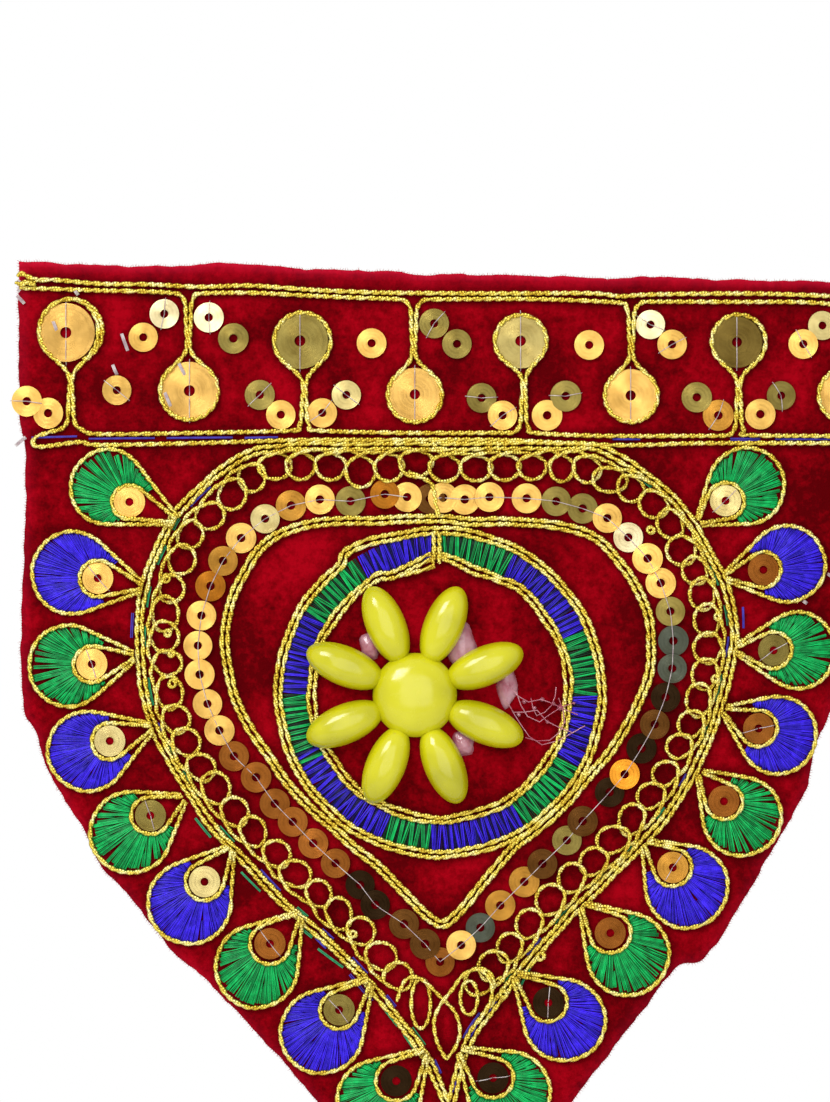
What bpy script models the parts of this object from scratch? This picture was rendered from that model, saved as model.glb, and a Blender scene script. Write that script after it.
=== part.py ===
"""One pennant of a toran door hanging: an embroidered velvet panel that hangs from its top edge.

The cloth hangs in the XZ plane and its embroidered face looks along -Y. The origin is at the middle of the
top edge. Sizes are in millimetres until hang() lays a piece on the cloth and turns it to metres. Trims are
drawn flat, X across and Y up, with their height along Z, and then follow the cloth's own curve.
"""

import math

import bmesh
import bpy
from mathutils import Matrix, Vector

PRODUCT = "toran_pennant"
MM = 0.001

# Thicknesses and widths.
CLOTH_THICK = 1.6
SEAT_GAP = 0.3
CORD_WIDE = 1.0
CORD_HIGH = 1.0
TWIN_WIDE = 2.0
TWIN_GROOVE = 0.55
# Cords that cross lie this much higher one by one, so that no two of their faces share a plane.
CROSSING_RISE = 0.03
SATIN_HIGH = 0.6
SATIN_CROWN = 0.8
CORD_CROWN = 0.6
SEQUIN_THICK = 0.3
SPAN_STEPS = 3

# How the cloth hangs: its sides curl back, its tip comes forward, and its top edge ripples.
SIDE_FLAT, SIDE_REACH, SIDE_CURL = 42.0, 28.0, 1.8
TIP_FLAT, TIP_REACH, TIP_CURL = -120.0, 42.0, 1.6
TOP_RIPPLE, TOP_RIPPLE_LENGTH, TOP_RIPPLE_DEPTH = 0.35, 46.0, 26.0
SLOW_WAVE = 0.45
STILL_RADIUS, MOVING_RADIUS = 26.0, 46.0
CLOTH_CELL = 9.0

# The panel's cut edge, clockwise from the top left corner: (x, z).
TOP_EDGE = (
    (-69.8, 2.2), (-62.8, 1.8), (-54.5, 1.4), (-44.5, 1.3), (-34.5, 1.8), (-21.2, 0.8), (-7.8, 0.4),
    (-1.8, -0.2), (2.2, 0), (19.2, -0.4), (30.5, -0.8), (35.5, -0.4), (45.5, -0.9), (65.5, -1.2),
    (73.8, -1.3),
)
RIGHT_EDGE = (
    (73.8, -61), (71.8, -63.5), (68, -68.5), (65.5, -73.2), (63, -79.3), (61.5, -86), (57.8, -92.7),
    (48.8, -108), (44.2, -114.3), (40.2, -115.2), (35.5, -121), (27.2, -131.7), (15.5, -146.8),
    (3.8, -161.7),
)
LEFT_EDGE = (
    (2.2, -163), (0.5, -161.7), (-12.8, -146.5), (-24.5, -132.5), (-37.8, -118.3), (-44.2, -112.7),
    (-50.2, -105), (-56.2, -98.3), (-59.2, -92), (-62.8, -86.7), (-65.3, -81.7), (-67.2, -76),
    (-69, -72.3), (-69.5, -61), (-68.7, -39.3), (-68.8, -28.8), (-69.5, -25.2), (-69.8, -16.8),
)

# The band between its two cords: (x, z) along each.
BAND_TOP = (
    (-69.2, -1.2), (-56.2, -2.2), (-32.8, -2.8), (-7.8, -3.8), (20.5, -4), (50.5, -3.9), (73.3, -4.2),
)
BAND_BOTTOM = ((-68.3, -28), (-61.2, -27.4), (-31.2, -27.4), (0, -27.3), (30.5, -27.5), (73.3, -27.4))
HEART_RUN_LEFT, HEART_RUN_RIGHT = -24.8, 25.0
HEART_RUN_DROP = 1.45
RAIL_PITCH = 6.2
STEM_SINK = 0.4
LOOP_STEPS = 14
# Loops of cord round the large sequins: which way the stem goes, head x and z, radius outside, stem x.
LOLLIPOPS = (
    ("up", -62.0, -9.7, 5.7, -60.8),
    ("down", -41.3, -19.3, 5.6, -41.4),
    ("up", -22.7, -11.2, 5.5, -22.2),
    ("down", -3.7, -19.8, 5.2, -3.9),
    ("up", 14.0, -11.3, 5.1, 14.4),
    ("down", 32.3, -20.2, 5.1, 32.3),
    ("up", 50.2, -11.3, 5.2, 50.2),
    ("down", 67.9, -20.0, 5.2, 67.9),
)
POINT_REACH = 1.28
LARGE_SEQUIN_STEPS = 18

# The two hearts, each side from the top down to the tip, and the tips: (x, z).
OUTER_LEFT = (
    (-26, -30), (-32.8, -31.8), (-38.8, -35.6), (-45.5, -43.7), (-49, -53), (-49.7, -61.8),
    (-47.5, -74.3), (-42.3, -85.2), (-32, -97.8), (-17.2, -112), (-6.2, -124),
)
OUTER_TIP = (1.5, -134.5)
OUTER_RIGHT = (
    (26.4, -30), (34.7, -33.5), (41, -39.5), (46.9, -49.8), (49.5, -59.8), (47, -72.3), (40.5, -86.8),
    (30.8, -98), (18, -111.5), (8.6, -123),
)
INNER_LEFT = (
    (0, -40.8), (-17.8, -40.9), (-24, -42), (-31.5, -48.2), (-35.2, -58.5), (-34, -69.3), (-28.2, -80.5),
    (-22.2, -88.2), (-15.5, -94.7), (-3.7, -105.2),
)
INNER_TIP = (1.2, -109.3)
INNER_RIGHT = (
    (5.6, -104.4), (13.2, -96), (21.5, -89.8), (27.8, -81.8), (33.8, -71), (35.6, -61.6), (33.8, -53),
    (28.8, -45.6), (21.3, -41.8), (13.8, -40.8),
)

# The ring of satin between two cords: its centre and the middle of each piece.
RING_X, RING_Z = 0.5, -69.7
RING_OUTER_RADIUS = 26.6
RING_INNER_RADIUS = 21.2
RING_STEPS = 36

# Curls of cord inside the outer heart: (x, z) of the line through their centres, each side from the top.
CHAIN_LEFT = (
    (-2.6, -32.5), (-20.5, -32.5), (-28.2, -34.2), (-37, -40.2), (-42.5, -47.8), (-45.2, -58),
    (-44.4, -69.3), (-40.2, -79.7), (-33.2, -89.3), (-20.3, -102.7), (-7.2, -115.9), (-3.4, -120.8),
)
CHAIN_RIGHT = (
    (2.6, -32.5), (20, -32.5), (27.8, -34.3), (34.8, -38.8), (41.2, -47.5), (45, -60.5), (42.8, -71.5),
    (37.4, -83.6), (27.8, -95.3), (17.2, -106.1), (7.3, -117), (5.1, -120.6),
)
CHAIN_PITCH = 4.35
CHAIN_RADIUS = 1.9
CHAIN_STEPS = 9
LEAF_X, LEAF_Z, LEAF_HALF_WIDE, LEAF_HALF_LONG = 1.8, -124.0, 1.5, 4.5

# The thread of small sequins between the hearts, each side from the top down: (x, z).
SEQUIN_ROW_LEFT = (
    (-5, -37.5), (-19.6, -37.6), (-28.5, -40.7), (-35.5, -47.8), (-39.4, -57.5), (-39.7, -66.8),
    (-36.2, -76), (-27.3, -88.2), (-21, -95.2), (-12.4, -102.4), (-2.2, -111.7), (0.2, -114),
)
SEQUIN_ROW_RIGHT = (
    (4.7, -37.5), (17, -37.6), (28.3, -40.7), (34.9, -47.4), (39.1, -58), (38.2, -69), (34, -79.2),
    (24.8, -91.4), (14.7, -101), (7.3, -108.7), (4.2, -111.6),
)
SEQUIN_PITCH = 4.85
SEQUIN_RADIUS = 2.1
SEQUIN_WAIST = 0.75
# Half widths of a sequin at parts of its radius from its middle.
SEQUIN_SHOULDER_AT, SEQUIN_SHOULDER_HALF = 0.4, 0.92

# Peacock eyes: name, colour, root x and z, head x and z, head radius outside, eye x and z.
FEATHERS = (
    ("L1", "green", -44.2, -39.7, -55.0, -35.5, 6.6, -51.0, -38.2),
    ("L2", "blue", -50.0, -51.5, -60.3, -49.7, 7.0, -56.3, -50.7),
    ("L3", "green", -50.8, -63.7, -61.5, -65.3, 6.8, -57.7, -64.8),
    ("L4", "blue", -48.5, -75.8, -58.2, -79.7, 6.9, -54.3, -77.8),
    ("L5", "green", -42.8, -87.0, -51.2, -93.2, 7.0, -47.7, -90.2),
    ("L6", "blue", -34.5, -97.3, -41.2, -104.8, 7.0, -38.6, -101.3),
    ("L7", "green", -23.7, -107.0, -30.3, -115.3, 7.0, -27.8, -111.8),
    ("L8", "blue", -12.3, -118.2, -19.5, -126.2, 7.1, -16.3, -122.5),
    ("L9", "green", -3.2, -130.3, -10.0, -138.7, 7.0, -7.2, -135.0),
    ("R1", "green", 44.2, -41.0, 51.7, -35.5, 6.6, 48.3, -37.8),
    ("R2", "blue", 49.5, -49.8, 58.2, -48.3, 6.7, 54.5, -49.5),
    ("R3", "green", 50.5, -62.5, 60.2, -62.8, 6.6, 56.0, -62.8),
    ("R4", "blue", 48.5, -73.2, 56.8, -77.0, 6.8, 53.8, -75.7),
    ("R5", "green", 43.5, -83.8, 50.5, -90.2, 6.9, 47.7, -88.0),
    ("R6", "blue", 34.8, -95.3, 41.8, -102.3, 6.8, 39.3, -98.8),
    ("R7", "green", 24.5, -105.7, 32.0, -113.7, 6.8, 29.0, -110.0),
    ("R8", "blue", 13.7, -117.7, 21.5, -124.5, 6.8, 18.2, -121.7),
    ("R9", "green", 4.7, -129.3, 12.3, -136.3, 7.0, 9.3, -134.0),
)
EYE_RADIUS = 3.1
ROOT_HALF = 0.3
ROOT_CLEAR = 2.2
ROOT_STEP = 0.1
HEART_STEP = 0.5
EYE_ROOT_SHARE = 0.12
FEATHER_STEPS = 15
EYE_STEPS = 9
FAN_HALF_ANGLE = math.radians(80)
FAN_TIP = 0.5
FAN_STEPS = 9

# The glued flower: its centre, its petals and its boss.
EMBLEM_X, EMBLEM_Z = -3.7, -70.1
PETALS = 8
PETAL_LONG, PETAL_WIDE, PETAL_HIGH = 13.6, 6.6, 3.2
PETAL_CENTRE = 12.6
BOSS_WIDE, BOSS_HIGH = 14.0, 3.6
EMBLEM_LIFT = CORD_HIGH + SEAT_GAP

# Colours (sRGB 0 to 1) with roughness and metallic.
FINISHES = {
    "red_velvet": ((0.65, 0.0, 0.10), 0.9, 0.0),
    "gold_zari": ((0.88, 0.76, 0.20), 0.35, 0.8),
    "green_silk": ((0.0, 0.55, 0.28), 0.45, 0.0),
    "blue_silk": ((0.18, 0.10, 0.80), 0.45, 0.0),
    "ring_silk": ((0.08, 0.25, 0.60), 0.45, 0.0),
    "gold_sequin": ((0.93, 0.80, 0.40), 0.2, 0.9),
    "yellow_plastic": ((0.88, 0.89, 0.10), 0.25, 0.0),
}


def clear_scene():
    for obj in list(bpy.data.objects):
        bpy.data.objects.remove(obj, do_unlink=True)


def new_collection(name):
    made = bpy.data.collections.new(name)
    bpy.context.scene.collection.children.link(made)
    return made


def finish(name):
    """The Principled material of one finish, made once."""
    if name in bpy.data.materials:
        return bpy.data.materials[name]
    colour, roughness, metallic = FINISHES[name]
    made = bpy.data.materials.new(name)
    made.use_nodes = True
    shader = made.node_tree.nodes["Principled BSDF"]
    linear = [part / 12.92 if part <= 0.04045 else ((part + 0.055) / 1.055) ** 2.4 for part in colour]
    shader.inputs["Base Color"].default_value = (*linear, 1.0)
    shader.inputs["Roughness"].default_value = roughness
    shader.inputs["Metallic"].default_value = metallic
    return made


def fade(value, start, end):
    """0 at start, 1 at end and beyond, smooth between."""
    share = min(max((value - start) / (end - start), 0.0), 1.0)
    return share * share * (3 - 2 * share)


def cloth_bend(x, z):
    """How far the cloth's middle lies behind the XZ plane, in millimetres."""
    side = max(abs(x) - SIDE_FLAT, 0.0) / SIDE_REACH
    tip = max(TIP_FLAT - z, 0.0) / TIP_REACH
    top = max(1 + z / TOP_RIPPLE_DEPTH, 0.0)
    ripple = TOP_RIPPLE * min(top, 1.0) * math.sin(2 * math.pi * x / TOP_RIPPLE_LENGTH + 0.8)
    moving = fade(math.hypot(x - RING_X, z - RING_Z), STILL_RADIUS, MOVING_RADIUS)
    slow = SLOW_WAVE * moving * math.sin(x / 31 + 1.1) * math.sin(z / 43 + 0.4)
    return SIDE_CURL * side**2 - TIP_CURL * tip**2 + ripple + slow


def curved(points, steps=SPAN_STEPS):
    """A smooth line through hand-placed points, with steps stretches between neighbours."""
    count = len(points)
    knots = [Vector(point) for point in points]
    line = []
    for index in range(count - 1):
        near = (knots[min(max(index + shift, 0), count - 1)] for shift in (-1, 0, 1, 2))
        before, start, end, after = near
        for step in range(steps):
            t = step / steps
            line.append(0.5 * (
                2 * start
                + (end - before) * t
                + (2 * before - 5 * start + 4 * end - after) * t**2
                + (3 * start - before - 3 * end + after) * t**3
            ))
    line.append(knots[-1])
    return line


def along(line, pitch):
    """Points a pitch apart along a line, evened out so that both of its ends have one."""
    lengths = [0.0]
    for start, end in zip(line, line[1:]):
        lengths.append(lengths[-1] + (end - start).length)
    count = round(lengths[-1] / pitch)
    found = []
    index = 0
    for step in range(count + 1):
        distance = lengths[-1] * step / count
        while index < len(line) - 2 and lengths[index + 1] < distance:
            index += 1
        share = (distance - lengths[index]) / (lengths[index + 1] - lengths[index])
        found.append(line[index].lerp(line[index + 1], share))
    return found


def arc(centre, radius, start, end, steps):
    """Points along a round stretch, both ends included."""
    angles = [start + (end - start) * step / steps for step in range(steps + 1)]
    return [centre + radius * Vector((math.cos(angle), math.sin(angle))) for angle in angles]


def ring(centre, wide, high, steps):
    """Points round an ellipse with these half sizes."""
    angles = [2 * math.pi * step / steps for step in range(steps)]
    return [centre + Vector((wide * math.cos(angle), high * math.sin(angle))) for angle in angles]


def teardrop(head, radius, root, steps):
    """A round head drawn to a narrow root, as a closed line."""
    reach = root - head
    toward = math.atan2(reach.y, reach.x)
    open_angle = math.acos(radius / reach.length)
    across = Vector((-reach.y, reach.x)).normalized() * ROOT_HALF
    round_part = arc(head, radius, toward + open_angle, toward + 2 * math.pi - open_angle, steps)
    return round_part + [root - across, root + across]


def flat_curve(name, splines, closed):
    data = bpy.data.curves.new(name, "CURVE")
    data.dimensions = "2D"
    for points in splines:
        spline = data.splines.new("POLY")
        spline.points.add(len(points) - 1)
        for slot, point in zip(spline.points, points):
            slot.co = (point[0], point[1], 0.0, 1.0)
        spline.use_cyclic_u = closed
    return bpy.data.objects.new(name, data)


def as_mesh(curve, collection):
    """The mesh object that a curve object evaluates to, one closed body with its faces out."""
    collection.objects.link(curve)
    graph = bpy.context.evaluated_depsgraph_get()
    mesh = bpy.data.meshes.new_from_object(curve.evaluated_get(graph))
    name = curve.name
    bpy.data.objects.remove(curve, do_unlink=True)
    body = bmesh.new()
    body.from_mesh(mesh)
    bmesh.ops.remove_doubles(body, verts=body.verts, dist=1e-4)
    bmesh.ops.recalc_face_normals(body, faces=body.faces)
    body.to_mesh(mesh)
    body.free()
    made = bpy.data.objects.new(name, mesh)
    collection.objects.link(made)
    return made


def section(name, points, helpers):
    """A cord's cross section: X across the cord and Y up from the cloth."""
    curve = flat_curve(name, [points], closed=True)
    curve.hide_render = True
    curve.display_type = "WIRE"
    helpers.objects.link(curve)
    return curve


def cord(name, line, profile, collection, closed=False, order=0):
    """Cord of one cross section laid along a flat line; order counts the cords that it lies across."""
    curve = flat_curve(name, [line], closed)
    curve.data.fill_mode = "NONE"
    curve.data.bevel_mode = "OBJECT"
    curve.data.bevel_object = profile
    curve.data.use_fill_caps = True
    made = as_mesh(curve, collection)
    for vertex in made.data.vertices:
        vertex.co.z += order * CROSSING_RISE
    return made


def plate(name, outline, thick, collection):
    """A flat piece with this outline, its lower face at height 0."""
    curve = flat_curve(name, [outline], closed=True)
    curve.data.fill_mode = "BOTH"
    curve.data.extrude = thick / 2
    made = as_mesh(curve, collection)
    for vertex in made.data.vertices:
        vertex.co.z += thick / 2
    return made


def strip(name, near, far, thick, collection):
    """A flat piece between two lines of as many points, its lower face at height 0."""
    body = bmesh.new()
    edges = ((near, 0.0), (far, 0.0), (far, thick), (near, thick))
    rows = [[body.verts.new((*point, height)) for point in line] for line, height in edges]
    corners = list(zip(*rows))
    for start, end in zip(corners, corners[1:]):
        for index in range(4):
            after = (index + 1) % 4
            body.faces.new((start[index], start[after], end[after], end[index]))
    body.faces.new(corners[0])
    body.faces.new(corners[-1])
    bmesh.ops.triangulate(body, faces=body.faces)
    bmesh.ops.recalc_face_normals(body, faces=body.faces)
    mesh = bpy.data.meshes.new(name)
    body.to_mesh(mesh)
    body.free()
    made = bpy.data.objects.new(name, mesh)
    collection.objects.link(made)
    return made


def joined(name, pieces, collection):
    """Bodies that don't touch, put in one mesh."""
    body = bmesh.new()
    for piece in pieces:
        body.from_mesh(piece.data)
        bpy.data.objects.remove(piece, do_unlink=True)
    mesh = bpy.data.meshes.new(name)
    body.to_mesh(mesh)
    body.free()
    made = bpy.data.objects.new(name, mesh)
    collection.objects.link(made)
    return made


def fused(name, pieces, collection):
    """Overlapping bodies made into one by Boolean unions."""
    whole = pieces[0]
    for piece in pieces[1:]:
        union = whole.modifiers.new("union", "BOOLEAN")
        union.operation = "UNION"
        union.solver = "EXACT"
        union.object = piece
        graph = bpy.context.evaluated_depsgraph_get()
        mesh = bpy.data.meshes.new_from_object(whole.evaluated_get(graph))
        whole.modifiers.clear()
        whole.data = mesh
        bpy.data.objects.remove(piece, do_unlink=True)
    whole.name = name
    return whole


def hang(piece, material, lift=CLOTH_THICK / 2 + SEAT_GAP):
    """Stand a flat piece up on the cloth, follow the cloth's bend and turn millimetres to metres."""
    for vertex in piece.data.vertices:
        x, z, high = vertex.co
        vertex.co = Vector((x, cloth_bend(x, z) - lift - high, z)) * MM
    piece.data.materials.clear()
    piece.data.materials.append(finish(material))
    piece.data.shade_smooth()
    piece.data.set_sharp_from_angle(angle=math.radians(35))
    return piece


def velvet_panel(parts):
    outline = [Vector(point) for point in TOP_EDGE + RIGHT_EDGE + LEFT_EDGE]
    panel = plate("velvet_panel", outline, CLOTH_THICK, parts)
    body = bmesh.new()
    body.from_mesh(panel.data)
    bmesh.ops.dissolve_limit(body, angle_limit=math.radians(0.5), verts=body.verts, edges=body.edges)
    low = Vector([min(vertex.co[axis] for vertex in body.verts) for axis in range(3)])
    high = Vector([max(vertex.co[axis] for vertex in body.verts) for axis in range(3)])
    for axis in (0, 1):
        cells = round((high[axis] - low[axis]) / CLOTH_CELL)
        normal = Vector((1, 0, 0)) if axis == 0 else Vector((0, 1, 0))
        for cell in range(1, cells):
            place = normal * (low[axis] + (high[axis] - low[axis]) * cell / cells)
            geometry = body.verts[:] + body.edges[:] + body.faces[:]
            bmesh.ops.bisect_plane(body, geom=geometry, plane_co=place, plane_no=normal)
    bmesh.ops.triangulate(body, faces=body.faces)
    body.to_mesh(panel.data)
    body.free()
    hang(panel, "red_velvet", lift=-CLOTH_THICK / 2)


def line_height(points, x):
    """The height of a line of the band at x."""
    for (left, left_z), (right, right_z) in zip(points, points[1:]):
        if x <= right:
            return left_z + (right_z - left_z) * (x - left) / (right - left)
    return points[-1][1]


def lollipop(way, x, z, radius, stem_x, twin, single, parts):
    """The loop round a large sequin and the stem that joins it to the band's cord."""
    upward = way == "up"
    head = Vector((x, z))
    centre_radius = radius - CORD_WIDE / 2
    point_z = z - radius * POINT_REACH if upward else z + radius * POINT_REACH
    root = Vector((stem_x, point_z))
    line = teardrop(head, centre_radius, root, LOOP_STEPS)
    loop = cord("loop", line, single, parts, closed=True, order=3)
    rail = BAND_BOTTOM if upward else BAND_TOP
    foot = Vector((stem_x, line_height(rail, stem_x)))
    inward = STEM_SINK if upward else -STEM_SINK
    stem = cord("stem", [foot, root + Vector((0, inward))], twin, parts, order=2)
    return [loop, stem]


def band(twin, single, parts):
    top, bottom = (along([Vector(point) for point in line], RAIL_PITCH) for line in (BAND_TOP, BAND_BOTTOM))
    inside = [point.x for point in bottom if HEART_RUN_LEFT < point.x < HEART_RUN_RIGHT]
    run = [
        Vector((x, line_height(BAND_BOTTOM, x) - HEART_RUN_DROP))
        for x in (HEART_RUN_LEFT, *inside, HEART_RUN_RIGHT)
    ]
    rails = {
        "down": [cord("rail", top, twin, parts)],
        "up": [
            cord("rail", bottom, twin, parts),
            cord("heart_run", run, twin, parts, order=1),
        ],
    }
    for number, (way, x, z, radius, stem_x) in enumerate(LOLLIPOPS, 1):
        rails[way] += lollipop(way, x, z, radius, stem_x, twin, single, parts)
        rim = ring(Vector((x, z)), *2 * [radius - CORD_WIDE - SEAT_GAP], LARGE_SEQUIN_STEPS)
        hang(plate(f"large_sequin_{number}", rim, SEQUIN_THICK, parts), "gold_sequin")
    hang(fused("band_cord_top", rails["down"], parts), "gold_zari")
    hang(fused("band_cord_bottom", rails["up"], parts), "gold_zari")


def outer_heart_line():
    left = curved(OUTER_LEFT)
    right = curved(OUTER_RIGHT)
    return left + [Vector(OUTER_TIP)] + right[::-1]


def hearts(twin, parts):
    hang(cord("heart_cord_outer", outer_heart_line(), twin, parts), "gold_zari")
    inner = curved(INNER_LEFT) + [Vector(INNER_TIP)] + curved(INNER_RIGHT + INNER_LEFT[:1])[:-1]
    hang(cord("heart_cord_inner", inner, twin, parts, closed=True), "gold_zari")


def satin_ring(twin, parts, helpers):
    centre = Vector((RING_X, RING_Z))
    for name, radius in (("ring_cord_outer", RING_OUTER_RADIUS), ("ring_cord_inner", RING_INNER_RADIUS)):
        hang(cord(name, ring(centre, radius, radius, RING_STEPS), twin, parts, closed=True), "gold_zari")
    half = (RING_OUTER_RADIUS - RING_INNER_RADIUS - TWIN_WIDE) / 2 - SEAT_GAP
    crown = half * SATIN_CROWN
    flat = section(
        "satin_section", [(-half, 0), (half, 0), (crown, SATIN_HIGH), (-crown, SATIN_HIGH)], helpers
    )
    middle = (RING_OUTER_RADIUS + RING_INNER_RADIUS) / 2
    hang(cord("ring_satin", ring(centre, middle, middle, RING_STEPS), flat, parts, closed=True), "ring_silk")


def loop_chain(side, points, ridge, parts):
    """Curls of cord along a line: every other one is apart, so two groups make one chain."""
    curls = []
    for index, centre in enumerate(along(curved(points), CHAIN_PITCH)):
        line = ring(centre, CHAIN_RADIUS, CHAIN_RADIUS, CHAIN_STEPS)
        curls.append(cord("curl", line, ridge, parts, closed=True, order=index % 2))
    if side == "right":
        leaf = ring(Vector((LEAF_X, LEAF_Z)), LEAF_HALF_WIDE, LEAF_HALF_LONG, LOOP_STEPS)
        curls.append(cord("leaf", leaf, ridge, parts, closed=True, order=len(curls) % 2))
    even = joined("even", curls[::2], parts)
    odd = joined("odd", curls[1::2], parts)
    hang(fused(f"loop_chain_{side}", [even, odd], parts), "gold_zari")


def sequin_row(side, points, parts):
    """Sequins on one thread, as a strip that narrows to a waist between neighbours."""
    centres = along(curved(points), SEQUIN_PITCH)
    reach = math.sqrt(SEQUIN_RADIUS**2 - SEQUIN_WAIST**2)
    shoulder = (-SEQUIN_RADIUS * SEQUIN_SHOULDER_AT, SEQUIN_RADIUS * SEQUIN_SHOULDER_HALF)
    rows = ((-reach, SEQUIN_WAIST), shoulder)
    left, right = [], []
    for index, centre in enumerate(centres):
        ahead = centres[min(index + 1, len(centres) - 1)] - centres[max(index - 1, 0)]
        ahead.normalize()
        across = Vector((-ahead.y, ahead.x))
        for distance, half in (*rows, *((-distance, half) for distance, half in rows[::-1])):
            left.append(centre + ahead * distance + across * half)
            right.append(centre + ahead * distance - across * half)
    hang(plate(f"heart_sequins_{side}", left + right[::-1], SEQUIN_THICK, parts), "gold_sequin")


def off_heart(root, head, heart):
    """The root drawn back toward its head until it clears the outer heart's cord."""
    step = (head - root).normalized() * ROOT_STEP
    while min((root - point).length for point in heart) < ROOT_CLEAR:
        root = root + step
    return root


def fan_edges(head, head_radius, eye, eye_radius):
    """The two edges of the crescent between the eye's loop and the head's, seen from the eye."""
    away = head - eye
    middle = math.atan2(away.y, away.x)
    tip = eye_radius + FAN_TIP
    narrowing = (tip**2 + away.length_squared - head_radius**2) / (2 * tip * away.length)
    half = min(FAN_HALF_ANGLE, math.acos(narrowing))
    outer = []
    for step in range(FAN_STEPS + 1):
        angle = middle - half + 2 * half * step / FAN_STEPS
        ray = Vector((math.cos(angle), math.sin(angle)))
        beside = away.dot(ray)
        outer.append(eye + ray * (beside + math.sqrt(beside**2 + head_radius**2 - away.length_squared)))
    inner = arc(eye, eye_radius, middle - half, middle + half, FAN_STEPS)
    return inner, outer


def feathers(ridge, parts):
    heart = along(outer_heart_line(), HEART_STEP)
    for name, colour, root_x, root_z, head_x, head_z, radius, eye_x, eye_z in FEATHERS:
        head, eye = Vector((head_x, head_z)), Vector((eye_x, eye_z))
        root = off_heart(Vector((root_x, root_z)), head, heart)
        outer = teardrop(head, radius - CORD_WIDE / 2, root, FEATHER_STEPS)
        inner = teardrop(eye, EYE_RADIUS, root.lerp(eye, EYE_ROOT_SHARE), EYE_STEPS)
        loops = [
            cord("loop", outer, ridge, parts, closed=True),
            cord("eye", inner, ridge, parts, closed=True, order=1),
        ]
        hang(fused(f"feather_cord_{name}", loops, parts), "gold_zari")
        edges = fan_edges(head, radius - CORD_WIDE - SEAT_GAP, eye, EYE_RADIUS + CORD_WIDE / 2 + SEAT_GAP)
        hang(strip(f"feather_fan_{name}", *edges, SATIN_HIGH, parts), f"{colour}_silk")


def dome(wide, long, high, place, turn):
    """Half an ellipsoid on its flat side, turned and moved in the plane."""
    body = bmesh.new()
    bmesh.ops.create_uvsphere(body, u_segments=12, v_segments=6, radius=1.0)
    for vertex in body.verts:
        flat = Vector((vertex.co.x * long / 2, vertex.co.y * wide / 2))
        flat.rotate(Matrix.Rotation(turn, 2))
        vertex.co = (flat.x + place.x, flat.y + place.y, max(vertex.co.z, 0.0) * high)
    return body


def emblem(parts):
    """A moulded eight-petalled flower, glued over the ring's inner cord."""
    centre = Vector((EMBLEM_X, EMBLEM_Z))
    shapes = [dome(BOSS_WIDE, BOSS_WIDE, BOSS_HIGH, centre, 0.0)]
    for index in range(PETALS):
        angle = 2 * math.pi * (index + 0.5) / PETALS
        place = centre + PETAL_CENTRE * Vector((math.cos(angle), math.sin(angle)))
        shapes.append(dome(PETAL_WIDE, PETAL_LONG, PETAL_HIGH, place, angle))
    pieces = []
    for body in shapes:
        bmesh.ops.dissolve_limit(body, angle_limit=math.radians(0.5), verts=body.verts, edges=body.edges)
        mesh = bpy.data.meshes.new("petal")
        body.to_mesh(mesh)
        body.free()
        piece = bpy.data.objects.new("petal", mesh)
        parts.objects.link(piece)
        pieces.append(piece)
    hang(fused("emblem", pieces, parts), "yellow_plastic", lift=CLOTH_THICK / 2 + SEAT_GAP + EMBLEM_LIFT)


def main():
    clear_scene()
    bpy.context.scene.unit_settings.scale_length = 1.0
    parts = new_collection(PRODUCT)
    helpers = new_collection("helpers")
    half = TWIN_WIDE / 2
    twin = section(
        "twin_section",
        [(-half, 0), (half, 0), (half / 2, CORD_HIGH), (0, TWIN_GROOVE), (-half / 2, CORD_HIGH)],
        helpers,
    )
    half = CORD_WIDE / 2
    single = section(
        "single_section",
        [(-half, 0), (half, 0), (half * CORD_CROWN, CORD_HIGH), (-half * CORD_CROWN, CORD_HIGH)],
        helpers,
    )
    ridge = section("ridge_section", [(-half, 0), (half, 0), (0, CORD_HIGH)], helpers)
    velvet_panel(parts)
    band(twin, single, parts)
    hearts(twin, parts)
    satin_ring(twin, parts, helpers)
    loop_chain("left", CHAIN_LEFT, ridge, parts)
    loop_chain("right", CHAIN_RIGHT, ridge, parts)
    sequin_row("left", SEQUIN_ROW_LEFT, parts)
    sequin_row("right", SEQUIN_ROW_RIGHT, parts)
    feathers(ridge, parts)
    emblem(parts)


main()
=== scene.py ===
"""One pennant of a toran door hanging: red velvet with gold zari cord, silk satin stitch and sequins.

Lines are kept in millimetres as x, z and the height above the cloth's embroidered face, and laid() turns them
to metres on the hanging cloth. The embroidered face looks along -Y.
"""

import math

import bmesh
import bpy
import numpy as np
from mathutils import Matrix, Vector
from mathutils.kdtree import KDTree


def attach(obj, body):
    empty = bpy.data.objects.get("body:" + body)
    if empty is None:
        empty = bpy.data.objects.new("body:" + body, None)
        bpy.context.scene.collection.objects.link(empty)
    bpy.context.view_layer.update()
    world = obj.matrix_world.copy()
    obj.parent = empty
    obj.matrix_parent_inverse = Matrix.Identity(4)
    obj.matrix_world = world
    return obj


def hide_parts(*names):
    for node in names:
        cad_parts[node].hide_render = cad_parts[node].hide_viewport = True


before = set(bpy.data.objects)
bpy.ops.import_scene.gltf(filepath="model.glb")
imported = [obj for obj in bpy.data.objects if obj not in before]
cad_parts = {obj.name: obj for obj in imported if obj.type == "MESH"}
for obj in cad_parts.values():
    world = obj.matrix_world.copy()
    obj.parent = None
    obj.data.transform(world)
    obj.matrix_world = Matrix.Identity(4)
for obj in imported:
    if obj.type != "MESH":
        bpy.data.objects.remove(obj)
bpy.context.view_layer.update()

MM = 0.001
BODY = "root"
rng = np.random.default_rng(7)

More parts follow.
